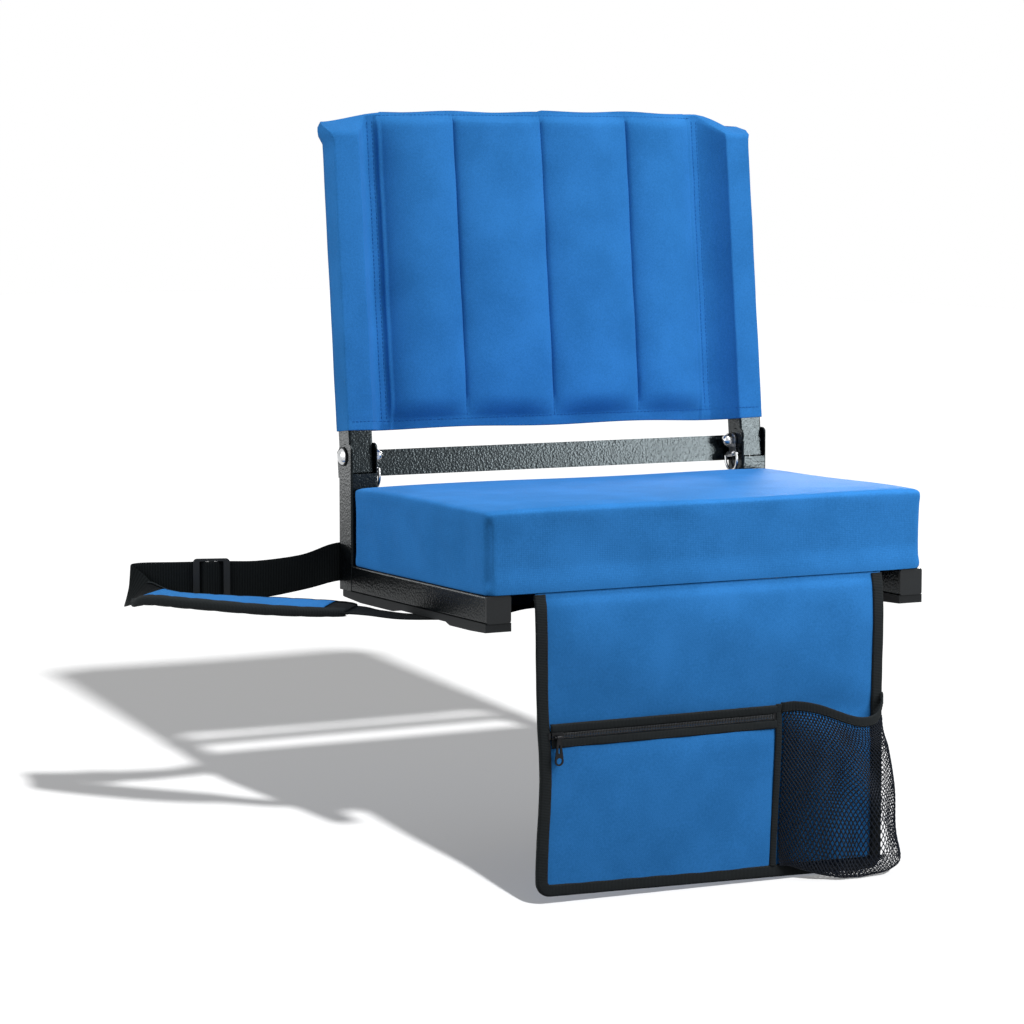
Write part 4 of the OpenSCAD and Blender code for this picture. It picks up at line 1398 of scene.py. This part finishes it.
@dataclass
class DrinkNet:
    """The knitted net of the drink pocket and its rim tape."""

    left: float = 78.0
    right: float = 190.4
    low: float = -242.4
    deep: float = 32.0
    sag: float = 30.0
    swing: float = 24.0
    cell: float = 4.0
    slope: float = 1.35
    yarn: float = 0.43
    dense: float = 0.33
    flat: Tuple[float, float] = (150.0, 155.0)

    def rim_z(self, u: Array) -> Array:
        """Height of the rim: it sags towards the free side."""
        return -84.4 - 25 * np.sin(np.radians(u * 150)) ** 2 * u - 5 * u

    def skin(self, u: Array, v: Array, out: float = 0.0) -> Array:
        """Where the net hangs.

        Args:
            u: Share across it, from the pocket seam to the free side.
            v: Share down it, from the rim to the gathered bottom.
            out: Distance outside the skin.

        Returns:
            The places. The bulge is a power of a sine across, wider towards
            the free side, times a fullness that grows to the sagging lower
            end and closes at the seam below. Folds run down it aslant.
        """
        top = self.rim_z(u) - 9
        inside = np.sin(math.pi * np.clip(u, 0, 1))
        sag = self.sag * inside ** 0.6 * np.sin(math.pi * np.clip((v - 0.40) / 0.60, 0, 1) ** 2.2)
        z = top + (self.low - top) * v ** 0.96 - sag - 1.2 * u * v
        closing = np.sqrt(np.clip(1 - ((v - 0.8) / 0.2) ** 2, 0, 1)) * 0.99
        full = np.where(v < 0.8, 0.62 + 0.38 * np.sin(math.pi * v / 1.6), closing)
        across = np.abs(np.sin(math.pi * np.clip(u, 0, 1) ** 1.35)) ** 0.62
        bulge = self.deep * across * full * (1 - 0.25 * (1 - v) * u)
        free = np.sin(math.pi * np.clip(v, 0, 1)) * inside ** 0.5
        fold = (4.2 * np.sin((u - 0.42 * v) * 19 + 0.8) * ease(u, 0.25, 0.6) + 1.3 * np.sin((u + 0.3 * v) * 31)) * free
        gather = 1.5 * ease(v, 0.6, 1.0) * np.sin(u * 44 + 3 * v) * free ** 0.5
        base = 1.6 + 2.4 * np.maximum(u ** 2, v ** 8)
        swing = self.swing * np.sin(np.clip(u, 0, 1) ** 2.6 * math.pi) * full * (0.25 + 0.75 * ease(v, 0, 0.17))
        swing = swing + 9.0 * ease(u, 0.5, 1.0) * np.exp(-((v - 0.86) / 0.12) ** 2)
        x = self.left + 0.7 + (self.right - self.left - 0.7) * u + swing - 5.0 * ease(v, 0, 1) * (1 - u)
        return np.stack([x, -156.4 - base - bulge - fold - gather - out, z], -1)

    def strands(self, lean: float) -> Tuple[Array, Array]:
        """Yarns of one slant as straight lines over the unrolled net.

        Each yarn's ends are where its line enters and leaves the rectangle.

        Args:
            lean: 1 or -1, the side to which the yarns lean.

        Returns:
            Places of shape (yarns, points, 3), and the yarns' thickness
            there, which grows where the net lies gathered at the seam.
        """
        (w, h), slope = self.flat, self.slope
        offsets = np.arange(-h / slope, w, self.cell) if lean > 0 else np.arange(0, w + h / slope, self.cell)
        near, far = (-offsets, w - offsets) if lean > 0 else (offsets - w, offsets)
        start, end = np.clip(near * slope, 0, h), np.clip(far * slope, 0, h)
        keep = end - start > 4
        start, end, offsets = start[keep, None], end[keep, None], offsets[keep, None]
        q = start + (end - start) * np.linspace(0, 1, 56)
        u = np.clip((offsets + lean * q / slope) / w, 0, 1)
        thick = self.yarn + self.dense * (1 - ease(u, 0.40, 0.75)) - 0.10 * ease(u, 0.80, 0.92)
        return self.skin(u, np.clip(q / h, 0, 1), 0.25 * lean), thick

    def build(self) -> None:
        """Yarns of both slants as thin rods of four sides, and the rim."""
        yarns, thick = (np.concatenate(pair) for pair in zip(self.strands(1.0), self.strands(-1.0)))
        along = unit(np.gradient(yarns, axis=1))
        across = unit(np.cross(along, [0.0, -1.0, 0.0]))
        up = np.cross(across, along)
        angle = turn(4)[:, None] + math.pi / 4
        ring = across[:, :, None] * np.cos(angle) + up[:, :, None] * np.sin(angle)
        net = many_rods("net_pocket_knit", yarns[:, :, None] + ring * thick[..., None, None])
        dress(net, NET_YARN, Body.FLAP, ["net_pocket"])
        self.rim()

    def rim(self) -> None:
        """The rim tape: a rounded band along the net's upper edge."""
        u = np.linspace(0, 1, 70)
        line = self.skin(u, np.zeros_like(u), 1.1) + [0, 0, 5.2]
        line[:, 0] -= 3.0 * (1 - ease(u, 0, 0.08))
        line[:, 2] += 12.0 * ease(u, 0.84, 1.0) - 1.6 * (1 - ease(u, 0, 0.08))
        angle = turn(18)
        y, z = 1.1 * squared(np.sin(angle), 0.7), 4.9 * squared(np.cos(angle), 0.4)
        points = line[:, None] + np.stack([0 * z, y, z], -1)
        dress(bar_mesh("net_rim_tape", points), TAPE, Body.FLAP, ["net_rim"])
        RIM_THREAD.sew("net_rim_stitch", line + [0, -1.15, -3.1], Body.FLAP)


@dataclass
class ShoulderStrap:
    """The webbing, its padded sleeve and the ends sewn round the frame."""

    half: float = 240.0
    back: float = 155.0
    width: float = 38.0
    thick: float = 1.8
    adjuster: float = 5.3
    hump: float = 5.4
    pad_from: float = 9.1
    pad_to: float = 13.1
    pad_half: float = 29.0
    pad_deep: float = 3.9

    def route(self) -> Array:
        """Control points of the strap: x, y, z and lean, 90 on edge and 0 flat."""
        h, b, x, y, z = self.half, self.back, -126.0, -40.3, 9.0 - self.thick / 2
        return np.array([
            [-h + 27, b + 1.05, 36, 90], [-h + 8, b + 1.05, 36, 90], [-h - 8, b + 2.6, 34.4, 90],
            [-h - 36, b + 11, 26, 75], [-h - 75, b + 24, 20, 84], [-h - 108, b + 34, 19.8, 90],
            [-h - 150, b + 50, 19.6, 90], [-h - 186, b + 67, 18.8, 93], [-h - 195, b + 65, 15.8, 78],
            [-h - 192, b + 50, 10.6, 36], [-h - 180, b + 32, 7.4, 1], [-h - 150, b - 12, 6.3, -2],
            [-h - 100, b - 78, 5.9, 2], [-h - 52, b - 128, 5.6, 4],
            [-h - 34, b - 147, 3.6, 0], [-h - 14, b - 166, 1.2, 0], [-h + 8, b - 182, 1.15, 0],
            [-h + 34, b - 190, 1.15, 0], [-h + 66, b - 194, 3, 0], [x - 20, y, z - 0.7, 0], [x + 14, y, z - 0.1, 0]])

    def stations(self, s: Array) -> Tuple[Array, Array, Array]:
        """Places, width directions and face directions along the strap.

        Args:
            s: Places in control points.

        Returns:
            The three arrays. The lean turns the width direction from level
            to upright, and the face is square to it and to the run. A bell
            curve carries the webbing over the adjuster's middle bar.
        """
        control = self.route()
        p = spline(control, s)
        d = unit(spline(control, s + 0.02)[:, :3] - spline(control, s - 0.02)[:, :3])
        up = np.array([0.0, 0.0, 1.0])
        flat = unit(np.cross(up, d))
        q = np.radians(p[:, 3:])
        w = unit(up * np.sin(q) + flat * np.cos(q))
        n = unit(np.cross(d, w))
        hump = -self.hump * np.exp(-((s - self.adjuster) / 0.17) ** 4)
        return p[:, :3] + n * hump[:, None], w, n

    def build(self) -> None:
        """Webbing, pad and binding."""
        last = len(self.route()) - 1
        s = np.concatenate([np.linspace(0.03, 4.9, 66), np.linspace(4.92, 5.7, 40),
                            np.linspace(5.72, last - 0.001, 234)])
        p, w, n = self.stations(s)
        wide = self.width / 2 * squared(np.cos(turn(20)), 0.25)
        deep = self.thick / 2 * squared(np.sin(turn(20)), 0.6)
        full = 1 + 0.020 * np.exp(-((s - self.adjuster) / 0.3) ** 4)
        points = p[:, None] + w[:, None] * (full[:, None] * wide)[..., None] + n[:, None] * deep[:, None]
        uv = grid_uv(lengths(p), np.append(wide, wide[0]))
        dress(bar_mesh("strap_webbing_woven", points, uv, 80.0), WEBBING, Body.SEAT, ["strap_webbing"])
        self.pad()

    def section(self, s: Array, angle: Array, grow: float) -> Array:
        """The pad's section, carried along the strap.

        Args:
            s: Places along the strap.
            angle: Angles round the section, 0 at the edge.
            grow: How far outside the pad's own skin.

        Returns:
            Places of shape (places, angles, 3), on a flat oval whose corners
            are squared, thinner towards both ends.
        """
        p, w, n = self.stations(s)
        u = (s - self.pad_from) / (self.pad_to - self.pad_from)
        e = np.sin(np.radians(8 + 164 * np.clip(u, 0, 1))) ** 0.35
        wide = (self.pad_half * e + grow)[:, None] * squared(np.cos(angle), 0.5)
        deep = (self.pad_deep * e + 1.0 + grow)[:, None] * squared(np.sin(angle), 0.62)
        quilt = 1 - 0.10 * (np.sin(s[:, None] * 9.0) ** 8) * np.abs(np.sin(angle))
        return p[:, None] + w[:, None] * wide[..., None] + n[:, None] * (deep * quilt)[..., None]

    def pad(self) -> None:
        """The padded sleeve: a blue face, a black back and black binding."""
        first, last = self.pad_from, self.pad_to
        pad = bar_mesh("strap_pad_sewn", self.section(np.linspace(first, last, 110), turn(40), 0.0), None, 80.0)
        dress(pad, PAD_BACK, Body.SEAT, ["strap_pad"])
        rim = math.radians(32)
        face = self.section(np.linspace(first + 0.78, last - 0.42, 90), np.linspace(rim, math.pi - rim, 24), 0.5)
        dress(sheet_mesh("strap_pad_face", face, 0.5), BLUE, Body.SEAT)
        for name, centre in (("strap_pad_binding_far", 0.0), ("strap_pad_binding_near", math.pi)):
            round_edge = np.linspace(centre - 0.92, centre + 0.92, 18)
            band = self.section(np.linspace(first + 0.02, last - 0.02, 110), round_edge, 0.95)
            dress(sheet_mesh(name, band, 0.6), TAPE, Body.SEAT)


@dataclass
class Studio:
    """Camera, floor, world and lamps."""

    lens: float = 118.5
    eye: Place = (-1663.0, -2832.0, 409.0)
    gaze: Place = (0.4738, 0.8752, -0.0976)
    floor: float = -258.0
    sky: float = 0.24
    softboxes: Tuple[Tuple[str, str, float, Tuple[float, float], Place, Place], ...] = (
        ("high_key", "object", 45.0, (1.3, 1.3), (800, -1150, 2150), (0, 0, 130)),
        ("overhead", "object", 7.0, (0.6, 0.6), (450, -150, 1500), (0, -20, 110)),
        ("left_fill", "cloth", 18.5, (1.4, 1.2), (-1700, 0, 700), (-200, 0, 200)),
        ("front_fill", "seat", 12.4, (0.6, 0.6), (820, -950, 640), (60, -150, 60)),
        ("back_fill", "back", 3.2, (0.4, 0.4), (620, -620, 120), (60, 100, 230)),
        ("far_rim", "cloth", 15.0, (0.45, 0.35), (1250, 1500, 420), (200, 0, 110)),
        ("right_card", "hard", 70.0, (0.50, 0.80), (1270, -1480, 230), (60, 150, 130)),
        ("left_strip", "hard", 8.0, (0.55, 0.95), (-1050, 1500, 420), (-240, 100, 200)))
    lamps: List[Tuple[Obj, str]] = field(default_factory=list)

    def build(self) -> None:
        """Set up the whole stage; a softbox has what it lights, watts, size in metres, place and aim.

        The two suns light the floor alone, so that the object's shadow lies
        there as in the photograph.
        """
        self.camera()
        self.backdrop()
        self.world()
        for name, lights, power, (wide, tall), place, aim in self.softboxes:
            box = self.lamp(name, "AREA", power, Vector(aim) - Vector(place), lights)
            box.location = Vector(place) * MM
            box.data.shape, box.data.size, box.data.size_y = "RECTANGLE", wide, tall
        self.lamp("shadow_sun", "SUN", 5.5, (0.262, 1.773, -1.0), "floor").data.angle = math.radians(2.3)
        fill = self.lamp("floor_fill", "SUN", 0.78, (0, 0, -1.0), "floor").data
        fill.angle, fill.use_shadow = math.radians(20.0), False

    def lamp(self, name: str, kind: str, power: float, way: Sequence[float], lights: str) -> Obj:
        """A lamp.

        Args:
            name: Its name.
            kind: Blender's name of its type.
            power: Its watts, or its strength where it is a sun.
            way: The direction in which it shines.
            lights: What it lights: floor, object, cloth, seat, back or hard.

        Returns:
            The lamp.
        """
        data = bpy.data.lights.new(name, kind)
        data.energy = power
        made = put(name, data)
        made.rotation_euler = Vector(way).to_track_quat("-Z", "Y").to_euler()
        self.lamps.append((made, lights))
        return made

    def camera(self) -> None:
        """The photograph's viewpoint."""
        data = bpy.data.cameras.new("camera")
        data.lens, data.sensor_width = self.lens, 36.0
        data.clip_start, data.clip_end = 0.05, 60.0
        made = put("camera", data)
        made.location = Vector(self.eye) * MM
        made.rotation_euler = Vector(self.gaze).to_track_quat("-Z", "Y").to_euler()
        bpy.context.scene.camera = made

    def backdrop(self) -> None:
        """A wide floor at the level of the flap's lower edge, white where it is lit."""
        g = Graph(bpy.data.materials.new("floor_white"))
        quiet = g.node("BsdfDiffuse", None, {"Color": (0.14, 0.14, 0.14)})
        pale = g.node("BsdfDiffuse", None, {"Color": (0.82, 0.82, 0.82)})
        x, y = np.meshgrid(np.linspace(-9000, 9000, 7), np.linspace(-6000, 16000, 7), indexing="ij")
        floor = surface_mesh("floor", np.stack([x, y, np.full_like(x, self.floor)], -1))
        floor.data.materials.append(g.close(g.node("MixShader", None, {0: g.seen(), 1: quiet, 2: pale})))

    def world(self) -> None:
        """White to the camera and to gloss, and a soft grey light otherwise."""
        g = Graph(bpy.data.worlds.new("studio"))
        soft = g.node("Background", None, {"Color": (1.0, 1.0, 1.0), "Strength": self.sky})
        white = g.node("Background", None, {"Color": (1.0, 1.0, 1.0), "Strength": 1.0})
        mixed = g.node("MixShader", None, {0: g.seen(), 1: soft, 2: white})
        bpy.context.scene.world = g.close(mixed, "OutputWorld")

    def sort_pieces(self) -> None:
        """Tell each lamp what it lights, once all pieces stand."""
        names = ("floor", "object", "cloth", "seat", "back", "hard")
        groups = {name: bpy.data.collections.new(f"lit_{name}") for name in names}
        for piece in bpy.context.scene.objects:
            if piece.type != "MESH":
                continue
            if piece.name == "floor":
                lit = ["floor"]
            elif piece.data.materials and piece.data.materials[0].name == PAINT.name:
                lit = ["object", "hard"]
            else:
                lit = ["object", "cloth", "back" if piece.name.startswith("back_") else "seat"]
            for name in lit:
                groups[name].objects.link(piece)
        for lamp, lights in self.lamps:
            lamp.light_linking.receiver_collection = groups[lights]


def main() -> None:
    """Build the stage and the sub-assemblies."""
    logging.basicConfig(level=logging.INFO, format="%(name)s: %(message)s")
    bpy.context.scene.view_settings.view_transform = "Standard"
    studio = Studio()
    for part in (studio, CarriedParts(), SeatCushion(), BackCover(), PocketFlap(), DrinkNet(), ShoulderStrap()):
        part.build()
    studio.sort_pieces()
    bpy.context.view_layer.update()


if __name__ == "__main__":
    main()
